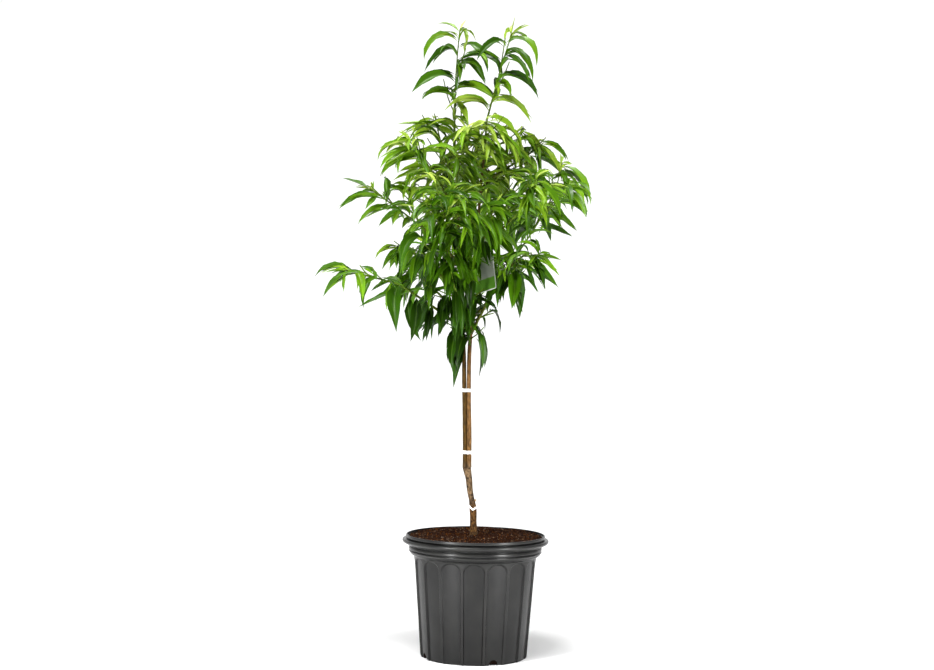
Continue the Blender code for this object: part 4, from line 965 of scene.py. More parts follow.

# Leaves set one by one where the photograph shows them. A key is a shoot, one of its twigs by number, or a bough;
# a leaf is share, heading, rise, end rise, bend, length, width, fold, roll, sweep, young.
setLeaves = {
    "top_left 0": [
        (0.914, 180, 54, -88, 0.68, 102, 24, 42, -48, 0, 0),
        (0.817, 140, 80, -53, 0.32, 104, 25, 42, -60, 5, 0),
        (0.585, -147, 43, -49, 0.51, 118, 28, 42, -36, 0, 0),
        (0.439, -148, 42, -55, 0.95, 90, 18, 42, -72, 1, 0), (0.853, -34, 57, -83, 0.5, 109, 22, 42, 36, 1, 0),
        (0.719, -39, 80, -67, 0.32, 100, 24, 42, 32, 2, 0), (0.499, -36, 80, -44, 0.32, 111, 22, 42, 48, 4, 0),
        (0.695, -80, 38, -88, 0.63, 75, 15, 42, -28, -8, 0), (0.414, -68, -18, -49, 0.7, 95, 19, 42, 0, 1, 0),
        (0.976, 151, 53, -3, 0.82, 60, 12, 42, -12, 0, 0.2),
        (0.963, -70, 80, -90, 0.49, 70, 14, 42, -20, -11, 0), (0.988, 60, 47, 47, 0.75, 40, 8, 42, -12, 0, 0.8),
        (0.976, 35, 66, -69, 0.62, 52, 12, 42, 16, 0, 0.45),
    ],
    "top_right 0": [
        (0.869, -142, 80, -63, 0.36, 99, 20, 42, -44, -2, 0),
        (0.599, 153, 59, -20, 0.92, 92, 18, 34, -40, -1, 0),
        (0.108, 166, 67, -46, 0.66, 108, 22, 42, -56, 0, 0), (0.935, -24, 61, -89, 0.46, 96, 23, 42, 16, -1, 0),
        (0.984, 52, 43, -45, 0.72, 70, 16, 42, 16, 0, 0), (0.803, -22, 38, -86, 0.46, 96, 19, 34, 40, 0, 0),
        (0.736, 45, 39, -46, 0.32, 89, 21, 42, 64, -3, 0), (0.495, -24, 44, -67, 0.53, 111, 22, 42, 44, 0, 0),
        (0.391, -48, 47, -88, 0.77, 62, 15, 42, 48, 0, 0.2), (0.232, -23, 64, -58, 0.28, 106, 25, 42, 28, 1, 0),
        (0.984, 5, 73, 84, 0.83, 40, 9, 42, 12, 0, 0.8), (0.984, 0, 44, 18, 0.79, 47, 11, 42, 8, 0, 0.45),
        (0.984, -120, 80, -88, 0.82, 41, 11, 42, -68, 1, 0.8),
        (0.461, -76, -78, -77, 0.75, 37, 7, 34, 0, -1, 0.8),
    ],
    "left_top 0": [
        (0.845, -177, 7, -3, 0.82, 84, 20, 42, -20, 0, 0),
        (0.793, -180, 15, -54, 0.82, 66, 15, 34, -64, 0, 0.2),
        (0.914, 180, 20, -73, 0.81, 59, 14, 42, -64, 0, 0.45),
        (0.879, -26, 40, -60, 0.73, 62, 15, 34, 80, 0, 0.2),
        (0.845, -44, -23, -21, 0.75, 56, 15, 34, 56, 0, 0.45),
    ],
    "high_left 1": [
        (0.944, 180, 80, -80, 0.49, 74, 17, 42, -36, 0, 0),
        (0.944, 131, 39, -44, 0.76, 60, 16, 42, -8, 0, 0.45),
    ],
    "high_left 0": [
        (0.536, -161, 17, -61, 1.1, 97, 23, 42, -48, 1, 0), (0.464, -171, 3, -70, 1.51, 97, 19, 34, -56, 1, 0),
        (0.893, 122, 35, 22, 0.78, 62, 12, 42, -4, 0, 0.2), (0.821, 180, 2, -90, 0.43, 68, 16, 42, -48, 0, 0.2),
        (0.179, -141, 2, -19, 0.76, 76, 18, 42, -40, 0, 0), (0.143, -154, -11, -25, 0.73, 86, 20, 42, -8, 0, 0),
    ],
    "left_up 1": [
        (0.917, -134, 54, -25, 0.8, 52, 10, 42, -76, 0, 0.45),
    ],
    "left_up 0": [
        (0.611, -131, 58, -14, 0.69, 62, 15, 42, -76, 0, 0.2),
        (0.742, -104, 77, -88, 0.63, 52, 10, 42, 0, 3, 0.45),
    ],
    "far_left 0": [
        (0.974, 156, 24, 16, 0.83, 74, 17, 42, -20, 0, 0), (0.868, -164, -5, -44, 0.91, 86, 20, 42, -40, 0, 0),
        (0.816, -118, -33, -36, 0.75, 60, 14, 34, -24, 0, 0.2),
        (0.974, 150, 6, 8, 0.76, 40, 9, 42, -40, 0, 0.8), (0.921, 76, 81, 85, 0.72, 22, 5, 34, 0, 1, 0.8),
        (0.605, 105, 58, 60, 0.75, 64, 13, 34, 0, -7, 0.2), (0.474, -163, -3, -61, 1.21, 90, 18, 42, -52, 1, 0),
        (0.158, -180, 80, -58, 0.38, 72, 17, 34, -56, 0, 0),
        (0.289, -121, 1, -71, 0.71, 49, 11, 34, -36, 0, 0.45),
        (0.105, 152, 81, -43, 1.17, 69, 14, 34, -40, 1, 0.2),
        (0.053, -121, 11, -68, 1.02, 46, 13, 34, -48, 3, 0.45),
    ],
    "left_low 0": [
        (0.969, -177, 12, -65, 0.82, 63, 15, 42, -36, 0, 0.2),
        (0.969, -161, -40, -65, 0.81, 62, 14, 42, -64, 0, 0.2),
        (0.969, 179, -60, -76, 0.76, 55, 11, 42, -56, 0, 0.45),
        (0.969, -105, -34, -89, 0.58, 53, 11, 42, 24, 4, 0.45),
    ],
    "left_mid 2": [
        (0.92, -109, 27, -88, 0.95, 103, 24, 34, -24, 3, 0),
    ],
    "left_mid 0": [
        (0.961, -129, 83, -97, 0.6, 131, 26, 42, -36, 19, 0),
    ],
    "low_left 0": [
        (0.946, 203, 44, -52, 0.66, 76, 19, 42, 32, 0, 0), (0.919, 154, 1, -9, 0.76, 56, 13, 42, -24, 0, 0.45),
        (0.919, 180, -35, -58, 0.87, 73, 17, 42, -56, 0, 0),
        (0.973, -105, -79, -79, 0.75, 46, 9, 42, 16, 0, 0.45), (0.811, -65, 75, -88, 0.3, 82, 19, 34, 16, 0, 0),
        (0.521, -106, -24, -60, 0.8, 60, 14, 34, -24, 1, 0.45),
        (0.418, 167, 80, -10, 0.79, 46, 11, 42, -44, 0, 0.45),
        (0.119, -150, 6, -39, 0.65, 52, 10, 42, -40, 0, 0.45),
    ],
    "bough_low_left": [
        (0.95, 164, 78, -25, 0.67, 50, 12, 42, -28, 0, 0.45),
        (0.917, 167, -22, -23, 0.76, 104, 24, 42, -16, 0, 0),
        (0.983, -104, 19, -68, 0.28, 127, 34, 42, 4, 48, 0), (0.833, 0, -109, -47, 0.94, 105, 25, 34, 68, 1, 0),
        (0.75, -87, -56, -45, 0.88, 119, 24, 34, 0, -27, 0), (0.583, 112, -7, -69, 0.6, 93, 25, 26, 32, 2, 0),
        (0.517, -98, -23, -65, 0.75, 96, 19, 34, -4, 0, 0), (0.4, 123, -26, -89, 0.6, 69, 16, 42, -68, -2, 0.2),
        (0.317, -92, 83, -91, 0.64, 128, 26, 42, 0, -15, 0),
    ],
    "skirt_left 0": [
        (0.136, -109, 80, -89, 0.41, 118, 28, 34, 0, 16, 0),
        (0.273, -100, -48, -47, 0.75, 90, 18, 42, 16, -2, 0),
    ],
    "skirt_front 0": [
        (0.435, -146, -39, -80, 0.28, 108, 22, 34, -20, -1, 0),
        (0.174, -110, 80, -89, 0.53, 111, 26, 34, -24, 3, 0),
    ],
    "skirt_right 0": [
        (0.063, -1, -33, -97, 0.28, 118, 22, 42, 24, 0, 0.8), (0.25, 64, 80, -89, 0.56, 61, 12, 34, 28, 5, 0.2),
        (0.812, 64, 80, -90, 0.44, 86, 17, 34, 52, 4, 0),
    ],
    "right_skirt 0": [
        (0.038, 75, -48, -42, 0.79, 39, 9, 42, 76, -12, 0.8),
        (0.038, -177, -45, -89, 0.59, 52, 14, 34, -64, 0, 0.45),
        (0.577, -102, -31, -30, 0.75, 78, 21, 34, -4, -4, 0),
        (0.923, -91, -44, -42, 0.75, 120, 32, 42, -4, -12, 0),
        (0.962, 75, -7, -89, 0.36, 115, 23, 42, 20, 7, 0),
    ],
    "right_low 0": [
        (0.945, 103, 82, 10, 1.16, 48, 10, 42, 20, 2, 0.45),
        (0.945, -180, 78, -16, 0.88, 53, 13, 42, -40, 0, 0.45),
        (0.945, 41, 21, -2, 0.75, 34, 8, 34, 48, 0, 0.8), (0.945, -31, -9, -14, 0.76, 54, 11, 42, 44, 0, 0.45),
        (0.835, -27, -33, -44, 0.81, 66, 13, 42, 40, -1, 0.2),
        (0.499, -6, -54, -45, 0.73, 85, 17, 42, 52, 0, 0),
        (0.668, -70, -38, -76, 0.77, 66, 13, 42, -24, 0, 0.2),
        (0.779, -66, -52, -63, 0.75, 80, 16, 42, -16, 0, 0), (0.11, -3, -88, -54, 0.92, 77, 18, 42, 32, 0, 0),
    ],
    "right_outer 0": [
        (0.947, -34, 54, -76, 0.28, 115, 23, 42, 20, 1, 0), (0.921, 33, 8, -77, 0.61, 108, 25, 42, 44, 0, 0),
        (0.987, 44, 9, -3, 0.75, 34, 8, 42, 52, 0, 0.8), (0.934, -74, -29, -71, 0.77, 70, 14, 42, 4, 0, 0.2),
        (0.802, -34, -1, -77, 1.02, 86, 20, 34, 32, -1, 0), (0.539, -41, -34, -35, 0.76, 92, 18, 42, 32, -2, 0),
        (0.539, -42, -41, -55, 0.76, 56, 11, 42, 16, 0, 0.45),
        (0.342, -38, -12, -20, 0.89, 92, 22, 42, 28, -2, 0), (0.421, -77, -26, -40, 0.76, 92, 18, 34, 4, -1, 0),
    ],
    "right_outer 2": [
        (0.708, -83, 80, -80, 0.52, 106, 21, 42, -8, 13, 0), (0.792, -63, 5, -53, 0.48, 101, 24, 42, 0, 2, 0),
    ],
    "right_high 0": [
        (0.905, -3, 3, -68, 0.98, 72, 17, 42, 56, 0, 0), (0.857, 0, -35, -46, 0.75, 50, 12, 34, 72, 0, 0.45),
        (0.571, 0, -32, -32, 0.74, 67, 16, 34, 48, 0, 0.2),
    ],
    "right_top 0": [
        (0.897, 65, 20, 28, 0.8, 38, 8, 42, 8, 7, 0.8), (0.983, 0, -25, -61, 0.79, 74, 17, 42, 64, 0, 0),
        (0.983, 0, -48, -74, 0.89, 90, 21, 42, 44, 0, 0),
    ],
    "front_top_right 0": [
        (0.97, 21, 80, -59, 0.32, 80, 19, 34, 64, -2, 0),
        (0.939, -139, -7, -35, 0.77, 52, 12, 34, -56, 0, 0.45), (0.939, 0, -15, -88, 0.8, 80, 19, 42, 60, 0, 0),
        (0.939, 77, 80, 17, 0.78, 16, 4, 34, 0, 3, 0.8),
    ],
    "right_front 0": [
        (0.923, -2, -33, -82, 1.29, 87, 20, 42, 48, 0, 0), (0.962, 31, 71, -44, 0.86, 50, 12, 42, 32, 0, 0.45),
    ],
}
# For each shoot: the seed of its finer twigs, and each leaf's number for its draw, 0 where none grows
dressing = {
    "top_left": (2000, (37, 147, 80, 147, 59, 97, 125, 2, 142, 46, 37, 62, 35, 110, 136, 66, 97, 124, 52, 69, 51, 104, 82, 92, 198, 119, 34, 172, 60, 106, 104, 184, 106, 39, 2, 21, 143, 41, 152, 5, 85, 78, 80, 177, 174, 0, 0, 0, 161, 76, 101, 37, 77, 8, 0, 112, 22, 107, 37)),
    "top_right": (2000, (62, 87, 126, 154, 104, 156, 179, 153, 155, 95, 111, 107, 188, 12, 111, 65, 95, 173, 83, 153, 124, 76, 71, 119, 71, 57, 101, 36, 0, 136, 123, 166, 30, 88, 47, 32, 0, 0, 0, 0, 131, 0, 111, 91, 0, 0, 106, 0, 98, 174, 48, 164)),
    "low_left": (2000, (40, 114, 80, 120, 0, 136, 0, 0, 0, 196, 155, 34, 0, 0, 0, 23, 0, 0, 63, 0, 0, 0, 47, 192, 101, 100, 24, 152, 108, 185, 2, 0, 0, 0, 95, 0, 2, 58, 29, 70, 187, 0, 20, 8, 0, 0, 0, 0, 0, 165, 0, 0, 62, 185, 87, 138, 0, 31, 192)),
    "right_outer": (2000, (157, 115, 172, 53, 8, 11, 100, 55, 136, 71, 22, 31, 0, 37, 185, 64, 199, 0, 129, 160, 189, 37, 151, 153, 129, 121, 187, 41, 6, 161, 26, 0, 0, 0, 123, 96, 126, 178, 132, 66, 8, 153, 161, 33, 57, 31, 85, 177, 96, 183, 124, 8, 124, 75, 151, 0, 42, 198, 166, 38, 38, 3, 139, 0, 187, 115, 80, 105, 45, 19, 195, 166, 153, 151, 36, 136, 154, 4, 159, 0, 22, 100, 102, 184, 198, 119, 129, 0)),
    "right_low": (2001, (8, 63, 35, 145, 0, 141, 0, 86, 173, 0, 99, 126, 108, 0, 17, 27, 60, 36, 52, 158, 139, 167, 153, 199, 0, 0, 50, 123, 0, 0, 0, 0, 0, 0, 36, 22, 30, 66, 174, 175, 0, 0)),
    "right_front": (2000, (55, 84, 27, 57, 136, 55, 41, 65, 58, 121, 46, 49, 14, 6, 82, 101, 109, 93, 34, 60, 57, 40, 2, 164, 0, 85, 148, 116, 198, 137, 23, 0, 121, 119, 148, 154, 103, 0, 85, 135, 5, 141, 130, 43, 68, 0, 0, 135, 1, 124, 92, 182, 30)),
    "far_left": (2001, (87, 0, 15, 1, 0, 65, 0, 0, 0, 193, 0, 15, 133, 171, 0, 187, 158, 14, 178, 95, 0, 36, 34, 64, 0, 137, 146, 133, 0, 151, 0, 0, 60, 0, 0, 56, 172, 42, 37, 0, 0, 0, 0, 8, 164, 0, 200, 58, 0, 95, 0, 11)),
    "left_up": (2000, (110, 186, 80, 116, 0, 95, 97, 0, 0, 82, 86, 153, 124, 0, 0, 0, 184, 52, 147, 32, 0, 34, 14, 189, 0, 27, 19, 125, 0, 0, 100, 5, 117, 155, 42, 0)),
    "high_left": (1064, (97, 167, 153, 16, 152, 46, 112, 156, 195, 193, 121, 160, 24, 154, 6, 82, 27, 73, 121, 56, 21, 145, 97, 68, 0, 46, 118, 154, 64, 183, 160, 29, 19, 108, 3, 135, 0, 168, 107, 37, 36, 0, 81, 177, 99, 8, 92, 71, 47, 174, 48, 114, 0, 20, 45, 160)),
    "left_top": (2000, (24, 79, 22, 53, 82, 13, 55, 71, 67, 37, 69, 119, 138, 177, 55, 22, 40, 0, 151, 47, 46, 99, 53, 196, 36, 0, 130, 1, 0, 58, 103, 113, 0, 0, 19, 188, 135, 34, 34, 32, 120, 97, 8, 95, 0, 175, 66, 104, 0, 0)),
    "front_left": (2000, (118, 30, 153, 129, 107, 77, 54, 167, 193, 5, 80, 145, 88, 116, 139, 88, 30, 8, 2, 159, 22, 64, 20, 35, 117, 136, 24, 60, 179, 95, 0, 0, 0, 32, 106, 154, 139, 9, 176, 13, 121, 188, 121, 124, 129, 0, 155, 82, 174, 150, 152, 121, 55, 49, 20, 91, 144, 45, 44, 49, 0)),
    "front_centre": (2000, (32, 106, 42, 129, 181, 41, 143, 71, 167, 177, 77, 118, 120, 94, 161, 36, 125, 129, 17, 152, 86, 139, 0, 95, 101, 159, 69, 122, 100, 104, 177, 154, 52, 155, 93, 153, 54, 151, 142, 158, 95, 20, 41, 38, 85, 146, 101, 90, 153, 129, 66, 74, 60, 31, 90, 175, 82, 10, 166, 183, 0, 167)),
    "right_centre": (2000, (71, 124, 124, 34, 49, 51, 22, 189, 60, 41, 193, 19, 0, 104, 0, 80, 42, 51, 170, 35, 11, 85, 0, 8, 0, 188, 131, 120, 167, 178, 80, 103, 34, 59, 53, 172, 122, 122, 121, 152, 126, 57, 37, 53, 59, 115, 0)),
    "front_top_left": (2000, (1, 55, 153, 195, 180, 60, 175, 175, 79, 188, 167, 8, 106, 192, 88, 113, 20, 185, 105, 14, 26, 153, 173, 0, 52, 192, 3, 116, 195, 72, 63, 0, 136, 198, 20, 53, 78, 155, 183, 107, 95, 72, 191, 20, 186, 178, 53, 149)),
    "front_top_right": (2000, (77, 119, 192, 139, 121, 177, 110, 106, 145, 26, 198, 162, 143, 173, 49, 54, 194, 4, 168, 98, 143, 9, 53, 197, 198, 24, 106, 0, 0, 53, 162, 4, 90, 153, 155, 198, 0, 165, 150, 102, 97, 127, 174, 0)),
    "right_top": (2000, (150, 76, 97, 106, 41, 36, 159, 198, 2, 2, 156, 36, 106, 64, 40, 30, 20, 102, 121, 124, 82, 80, 42, 104, 32, 55, 188, 195, 155, 159, 75, 14, 124, 137, 170, 74, 0, 0, 97, 167, 92, 158, 102, 22, 142, 40)),
    "right_high": (2000, (155, 0, 132, 84, 178, 22, 0, 0, 0, 0, 55, 139, 137, 0, 18, 0, 0, 53, 124, 5, 129, 0, 75, 32, 35, 75, 153, 123, 0, 139, 25, 0, 170, 6, 190, 158, 131, 177, 143, 24, 100, 72, 106, 106, 189, 0, 0)),
    "left_low": (2000, (160, 188, 121, 94, 36, 84, 185, 42, 43, 78, 58, 199, 152, 122, 82, 67, 26, 69, 106, 14, 161, 104, 106, 24, 144, 49, 99, 155, 0, 0, 40, 53, 95, 124, 5, 36, 0, 0, 90, 103, 161, 57, 129, 0, 0)),
    "left_mid": (2000, (194, 149, 51, 77, 174, 153, 37, 121, 153, 71, 150, 71, 9, 152, 105, 167, 134, 11, 58, 97, 53, 129, 198, 2, 129, 49, 106, 96, 117, 40, 153, 162, 159, 153, 46, 82, 85, 68, 75, 2, 138, 0, 200, 67, 57, 34, 139, 68, 85, 150, 131, 178, 150, 165, 150, 0)),
    "skirt_left": (2000, (53, 55, 153, 0, 0, 0, 105, 152, 185, 53, 188, 178, 0, 0, 153, 0, 159, 22, 4, 55, 141, 115, 85, 8, 0, 88, 93, 37, 101, 31, 68, 117, 6, 123, 0)),
    "skirt_front": (2000, (0, 0, 0, 57, 168, 8, 0, 123, 0, 0, 198, 74, 194, 131, 0, 0, 183, 118, 0, 179, 0, 0, 194, 45, 0, 36, 0, 0, 79, 174, 8, 0)),
    "skirt_right": (2000, (0, 0, 0, 0, 0, 0, 0, 0, 0, 0, 0, 0, 0, 106, 0, 20, 172, 188, 0, 0, 0, 0, 0, 25)),
    "right_skirt": (2000, (25, 118, 195, 50, 78, 52, 25, 189, 119, 49, 34, 58, 94, 55, 18, 96, 0, 69, 188, 31, 53, 120, 49, 106, 180, 67, 5, 108, 0, 10, 0, 8, 16, 32, 97, 79, 89, 104, 120, 0)),
    "back_low_left": (2000, (153, 122, 55, 124, 64, 152, 41, 0, 0, 8, 0, 0, 152, 75, 152, 24, 85, 0, 0, 188, 199, 110, 24, 31, 0, 122, 0, 85, 188, 55, 152, 193, 57, 84, 32, 9, 198, 26, 49, 150, 47, 0, 112, 20, 155, 55, 13, 0, 0, 174, 124, 57, 101, 126, 3, 0)),
    "back_low_right": (2000, (55, 22, 159, 154, 168, 97, 103, 129, 30, 32, 188, 152, 64, 36, 196, 195, 121, 193, 68, 36, 52, 122, 55, 112, 177, 122, 102, 139, 13, 20, 161, 0, 92, 139, 24, 97, 178, 121, 184, 139, 68, 24, 4, 106, 36, 48, 56, 24, 8, 104, 177, 133)),
    "back_mid": (2000, (34, 106, 167, 188, 0, 166, 0, 0, 0, 30, 0, 106, 14, 134, 192, 139, 0, 49, 0, 57, 57, 106, 102, 0, 100, 174, 198, 132, 0, 11, 0, 0, 152, 106, 151, 173, 71, 193, 129, 71, 22, 0, 187, 186, 0, 0, 53, 22, 0, 122, 122, 154)),
    "back_mid_left": (1116, (22, 30, 198, 188, 0, 52, 0, 0, 0, 0, 19, 131, 33, 0, 175, 0, 0, 0, 0, 93, 0, 129, 0, 170, 0, 0, 0, 0, 0, 20, 0, 0, 0, 69, 0, 178, 0, 0, 20, 0, 41, 0, 0, 0, 82, 68, 0, 0)),
    "back_mid_right": (2000, (153, 75, 55, 136, 0, 68, 0, 0, 0, 0, 8, 16, 139, 0, 0, 0, 0, 106, 0, 153, 35, 0, 159, 129, 183, 0, 152, 0, 0, 97, 0, 0, 124, 0, 0, 71, 0, 24, 0, 153, 102, 0, 0, 24, 82, 0, 0)),
    "back_high": (2000, (132, 90, 159, 107, 87, 196, 137, 77, 0, 177, 106, 24, 35, 0, 0, 153, 36, 156, 112, 52, 75, 162, 3, 68, 135, 168, 64, 64, 0, 157, 177, 155, 0, 10, 121, 139, 53, 32, 140, 162, 112, 8, 168, 34, 93, 139, 121, 0, 35, 124, 25, 159, 188, 46, 112, 55, 36)),
    "back_high_left": (2000, (3, 0, 71, 3, 32, 162, 124, 0, 0, 36, 35, 154, 0, 0, 20, 32, 37, 3, 132, 71, 41, 25, 136, 0, 0, 0, 159, 65, 41, 193, 156, 11, 72, 106, 139, 131, 0, 0, 31, 76, 0, 0, 105, 0, 13, 135, 97, 152, 106, 0)),
    "back_high_right": (2000, (191, 122, 37, 54, 0, 197, 162, 198, 184, 82, 5, 5, 156, 157, 0, 0, 136, 85, 36, 155, 74, 90, 53, 198, 83, 139, 22, 0, 37, 0, 121, 161, 41, 55, 106, 95, 0, 10, 184, 103, 119, 100, 182, 24, 142, 122, 192, 0, 0, 0, 0, 0, 129, 0, 0, 161, 2, 0)),
    "front_low": (2000, (2, 95, 71, 130, 33, 54, 151, 110, 72, 102, 46, 190, 167, 37, 154, 139, 106, 197, 6, 163, 128, 193, 4, 14, 57, 143, 123, 137, 117, 105, 70, 176, 0, 103, 142, 79, 192, 72, 106, 188, 139, 22, 171, 105, 136, 13, 22, 103, 162)),
    "front_right": (2000, (37, 102, 20, 34, 43, 188, 71, 153, 136, 102, 22, 17, 11, 24, 71, 31, 159, 14, 40, 124, 8, 199, 58, 35, 0, 133, 121, 53, 52, 150, 0, 46, 161, 85, 68, 122, 22, 177, 193, 120, 100, 140, 0, 71, 121, 53, 36, 24, 20)),
}


def leafLevel(row, root, young, draw):
    # how light a leaf is painted, from 0 to 1, as painted light and shade: it rises with height, where the light falls
    # from above, more so in the middle, which stands in the shade of the rest, than at the crown's outside. The two
    # leaders' own leaves carry painted shade, but for the last ones.
    x, y, z = root
    inside = -0.06 + 0.75 * smoothStep(640.0, 1060.0, z)
    outside = 0.2 + 0.23 * smoothStep(650.0, 830.0, z)
    outer = smoothStep(30.0, 190.0, math.hypot(x + 20, 0.6 * y))
    level = inside + (outside - inside) * outer - 0.38 * smoothStep(1110.0, 1170.0, z) + 0.4 * smoothStep(1210.0, 1270.0, z)
    level = level - 0.03 * row["hang"] + (0.12 + 0.38 * smoothStep(600.0, 1050.0, z)) * young
    return float(np.clip(level + draw.uniform(-0.2, 0.2), 0, 1))


def dressShoot(row):
    # the source's stem and side twigs, finer twigs from a second draw, and leaves on all of them
    axes = planAxes(row, random.Random(row["seed"]))
    seed, numbers = dressing.get(row["name"], (row["seed"] + 500, ()))
    finer = planAxes(dict(row, twigs=row["twigs"] + extraTwigs), random.Random(seed))[1:]
    slots = leafSlots(row, axes + finer)
    return axes, finer, [leafAt(row, slot, number) for slot, number in zip(slots, numbers) if number]


leafRows, levels, twigParts, shootAxes = [], [], [], {}
for row in shootRows:
    axes, finer, leaves = dressShoot(row)
    for number, (route, _) in enumerate(axes):
        shootAxes[f"{row['name']} {number}"] = (route, row)
    draw = random.Random(row["seed"])
    sprayTint = draw.uniform(-0.06, 0.06)
    for leaf in leaves:
        levels.append(np.clip(leafLevel(row, leaf[:3], leaf[11], draw) + sprayTint, 0, 1))
    leafRows += leaves
    for i, (route, foot) in enumerate(axes + finer):
        reach = lengthsAlong(route)
        girth = foot + (shootRule["tip"] - foot) * reach / reach[-1]
        colours = blendShades(reach / reach[-1], [(0.0, barkShades["boughTip"]), (1.0, barkShades["twig"])])
        twigParts.append(limbSurface(route, girth, 7, 0.02, colours, row["seed"] + i, closeFoot=i > 0 or row["heading"] is None))
draw = random.Random(4)
for key, leaves in setLeaves.items():
    route, row = shootAxes[key] if key in shootAxes else (routes[key], {"hang": 0.3})
    for share, heading, rise, end, bend, length, width, fold, roll, sweep, young in leaves:
        root = atShare(route, share)[0]
        leafRows.append((*root, heading, rise, end, bend, length, width, fold, roll, young, sweep))
        levels.append(leafLevel(row, root, young, draw))
leafRows, levels = np.array(leafRows), np.array(levels)
print(len(leafRows), "leaves planned")


def leafSurface(rows, levels):
    # One grid a leaf. Its midrib starts at the rise and bends to the end rise as share^bend while its heading
    # turns by the sweep times share squared. Its half width is share^0.85 (1 - share)^1.25 past the stalk,
    # folded up from the midrib, with a waved edge, and the blade rolls about the midrib and twists towards its tip.
    fine = 36
    draw = np.random.default_rng(21)
    root = rows[:, :3]
    heading, rise, end, bend, length, width, fold, roll, young, sweep = rows[:, 3:].T
    count = len(rows)
    share = (np.arange(fine) + 0.5) / fine
    elevation = rise[:, None] + (end - rise)[:, None] * share[None] ** bend[:, None]
    bearing = heading[:, None] + sweep[:, None] * share[None] ** 2
    moves = pointing(bearing, elevation) * (length[:, None, None] / fine)
    line = np.concatenate([np.zeros((count, 1, 3)), np.cumsum(moves, 1)], 1) + root[:, None]
    marks = np.array([0, 2, 5, 9, 13, 18, 23, 28, 33, 36])
    centre = line[:, marks]
    direction = pointing(bearing, elevation)[:, np.minimum(marks, fine - 1)]
    turnTo = np.radians(bearing[:, np.minimum(marks, fine - 1)])
    side = np.stack([np.sin(turnTo), -np.cos(turnTo), np.zeros_like(turnTo)], -1)
    s = marks / fine
    twist = draw.normal(0, 14, count)
    angle = np.radians(roll[:, None] * smoothStep(0.0, 0.4, s)[None] + twist[:, None] * s[None] ** 2)
    side = side * np.cos(angle)[..., None] + np.cross(direction, side) * np.sin(angle)[..., None]
    top = np.cross(side, direction)
    past = np.clip((s - 0.06) / 0.94, 0, 1)
    shape = 4.12 * past**0.85 * (1 - past) ** 1.25
    half = np.maximum(width[:, None] / 2 * shape[None] * 1.04, 0.55)
    half[:, -1] = 0.12
    t = np.array([-1.0, -0.5, 0.0, 0.5, 1.0])
    bent = np.radians(fold)[:, None, None] * (1.15 - 0.3 * np.abs(t)[None, None])
    phase = draw.uniform(0, math.tau, (count, 1, 1))
    wave = 0.13 * np.sin(s[None, :, None] * 16 + phase + t[None, None] * 1.2) * np.abs(t) ** 2 * smoothStep(0.1, 0.3, s)[None, :, None]
    lateral = half[..., None] * t * np.cos(bent)
    lift = half[..., None] * (np.abs(t) * np.sin(bent) + wave)
    points = centre[:, :, None] + side[:, :, None] * lateral[..., None] + top[:, :, None] * lift[..., None]
    rowsEach, columns = len(marks), len(t)
    cells = gridFaces(rowsEach, columns)
    quads = (cells[None] + (np.arange(count) * rowsEach * columns)[:, None, None]).reshape(-1, 4)
    u = np.broadcast_to((t + 1) / 2, (count, rowsEach, columns))
    v = np.broadcast_to(s[:, None], (count, rowsEach, columns))
    stops = np.array([0.0, 0.2, 0.42, 0.62, 0.8, 1.0])
    shades = np.array([linear(code) for code in leafShades.values()])
    tint = np.stack([np.interp(levels, stops, shades[:, i]) for i in range(3)], -1)
    tint = tint * draw.uniform(0.9, 1.12, (count, 1))
    tint = np.repeat(tint, rowsEach * columns, 0)
    return points.reshape(-1, 3), quads, np.stack([u.ravel(), v.ravel()], -1), tint


# Nectarine leaf: thin waxed blade, deep green above with a sunk pale midrib, satin gloss
leafSkin, tree, shader = newMaterial("waxedNectarineLeaf", 0.38, 1.45)
shader.inputs["Specular IOR Level"].default_value = 0.17
tint = addNode(tree, "ShaderNodeAttribute", {"attribute_name": "tint"})
ownMap = addNode(tree, "ShaderNodeUVMap", {"uv_map": "map"})
axes2 = addNode(tree, "ShaderNodeSeparateXYZ", Vector=ownMap.outputs["UV"])
off = addNode(tree, "ShaderNodeMath", {"operation": "SUBTRACT"}, n0=axes2.outputs["X"], n1=0.5)
away = addNode(tree, "ShaderNodeMath", {"operation": "ABSOLUTE"}, n0=off.outputs[0])
rib = addNode(
    tree, "ShaderNodeMapRange", {"interpolation_type": "SMOOTHSTEP"},
    Value=away.outputs[0], From_Min=0.02, From_Max=0.07, To_Min=0.8, To_Max=0.0,
)
lighter = addNode(tree, "ShaderNodeGamma", Color=tint.outputs["Color"], Gamma=0.7)
paler = addNode(
    tree, "ShaderNodeMix", {"data_type": "RGBA", "blend_type": "MIX"},
    n0=rib.outputs[0], n6=tint.outputs["Color"], n7=lighter.outputs["Color"],
)
tree.links.new(paler.outputs[2], shader.inputs["Base Color"])
limit = 2600
for i, start in enumerate(range(0, len(leafRows), limit)):
    points, quads, uv, tintValues = leafSurface(leafRows[start : start + limit], levels[start : start + limit])
    piece = makePiece(f"leaves_{i + 1}", points * mm, quads, leafSkin, uv=uv, tint=tintValues)
    finishPiece(piece, "leaf", *[f"shoot_{row['name']}" for row in shootRows])
    print(piece.name, len(quads) * 2, "triangles")
joined = joinParts(twigParts)
finishPiece(makePiece("twigs", joined[0] * mm, joined[1], bark, *joined[2:]), "bark", *[f"shoot_{row['name']}" for row in shootRows])
print("leaves and twigs done")


# Floor, light and camera

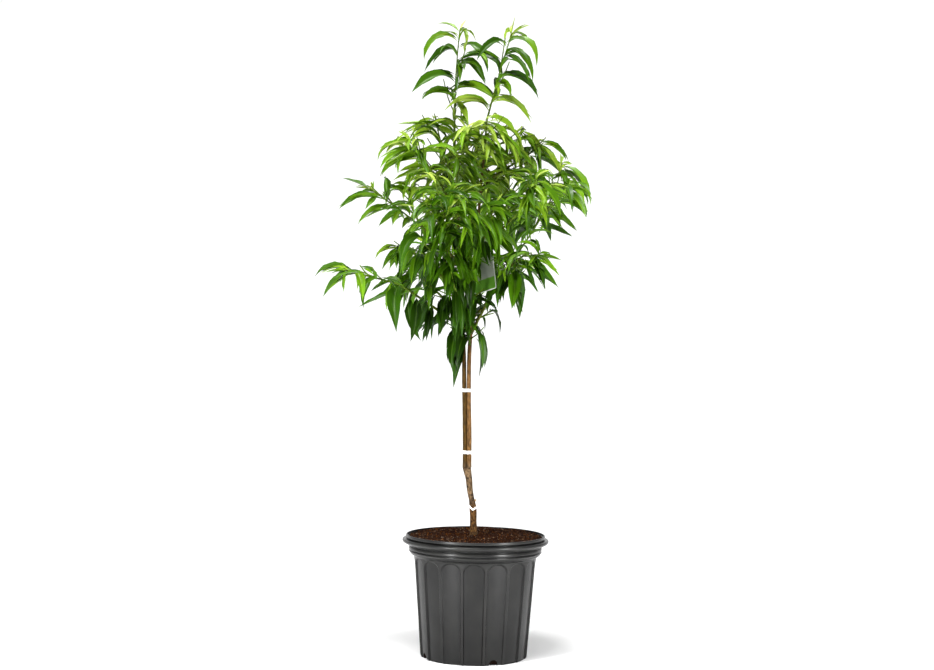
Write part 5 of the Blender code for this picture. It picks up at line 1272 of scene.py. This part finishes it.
def makeFloor():
    # a flat floor that curves up behind into a wall, one sheet
    profile = np.array([(-6.0, 0.0), (3.0, 0.0), (4.2, 0.12), (5.2, 0.6), (5.9, 1.6), (6.1, 3.0), (6.1, 8.0)])
    x = np.array([-9.0, 9.0])
    grid = np.stack([np.broadcast_to(x, (len(profile), 2)), np.repeat(profile[:, :1], 2, 1), np.repeat(profile[:, 1:], 2, 1)], -1)
    return makePiece("floor", grid.reshape(-1, 3), gridFaces(len(profile), 2)[:, ::-1], studioFloor)


studioFloor, tree, shader = newMaterial("paleStudioFloor", 0.85, 1.45)
shader.inputs["Base Color"].default_value = (0.86, 0.86, 0.86, 1.0)
shader.inputs["Specular IOR Level"].default_value = 0.1
makeFloor()

lights = [
    # name, place, aim, width, height, power
    ("keyFront", (-0.6, -1.5, 3.4), (0, 0, 0.8), 1.2, 1.2, 90),
    ("overhead", (-0.08, 0, 3.2), (0, 0, 0.6), 0.5, 0.5, 70),
    ("stripLeft", (-0.78, -0.92, 0.5), (0, 0, 0.3), 0.12, 0.9, 23),
    ("stripRight", (0.85, -0.85, 0.5), (0, 0, 0.3), 0.12, 0.9, 23),
    ("washLeft", (-1.6, 1.6, 3.2), (-3.2, 5.6, 1.2), 2.0, 2.0, 140),
    ("washRight", (1.6, 1.6, 3.2), (3.2, 5.6, 1.2), 2.0, 2.0, 140),
]
for name, spot, target, width, height, power in lights:
    data = bpy.data.lights.new(name, "AREA")
    data.shape = "RECTANGLE"
    data.size, data.size_y = width, height
    data.energy = power
    lamp = bpy.data.objects.new(name, data)
    lamp.location = spot
    lamp.rotation_euler = (Vector(target) - Vector(spot)).to_track_quat("-Z", "Y").to_euler()
    lamp.visible_camera = False
    bpy.context.scene.collection.objects.link(lamp)

world = bpy.data.worlds.new("studio")
world.use_nodes = True
world.node_tree.nodes["Background"].inputs["Color"].default_value = (1, 1, 1, 1)
world.node_tree.nodes["Background"].inputs["Strength"].default_value = 0.13
bpy.context.scene.world = world
bpy.context.scene.view_settings.view_transform = "Standard"

view = {"place": (-0.024, -3.5, 0.68), "focalPixels": 1731.0, "widthPixels": 934.0, "horizonAbove": 15.0, "roll": 0.95}
cameraData = bpy.data.cameras.new("camera")
cameraData.sensor_width = 36.0
cameraData.lens = view["focalPixels"] * 36.0 / view["widthPixels"]
camera = bpy.data.objects.new("camera", cameraData)
pitch = math.degrees(math.atan(view["horizonAbove"] / view["focalPixels"]))
turn = Matrix.Rotation(math.radians(90 - pitch), 4, "X") @ Matrix.Rotation(math.radians(view["roll"]), 4, "Z")
camera.matrix_world = Matrix.Translation(view["place"]) @ turn
bpy.context.scene.collection.objects.link(camera)
bpy.context.scene.camera = camera

print("scene done")
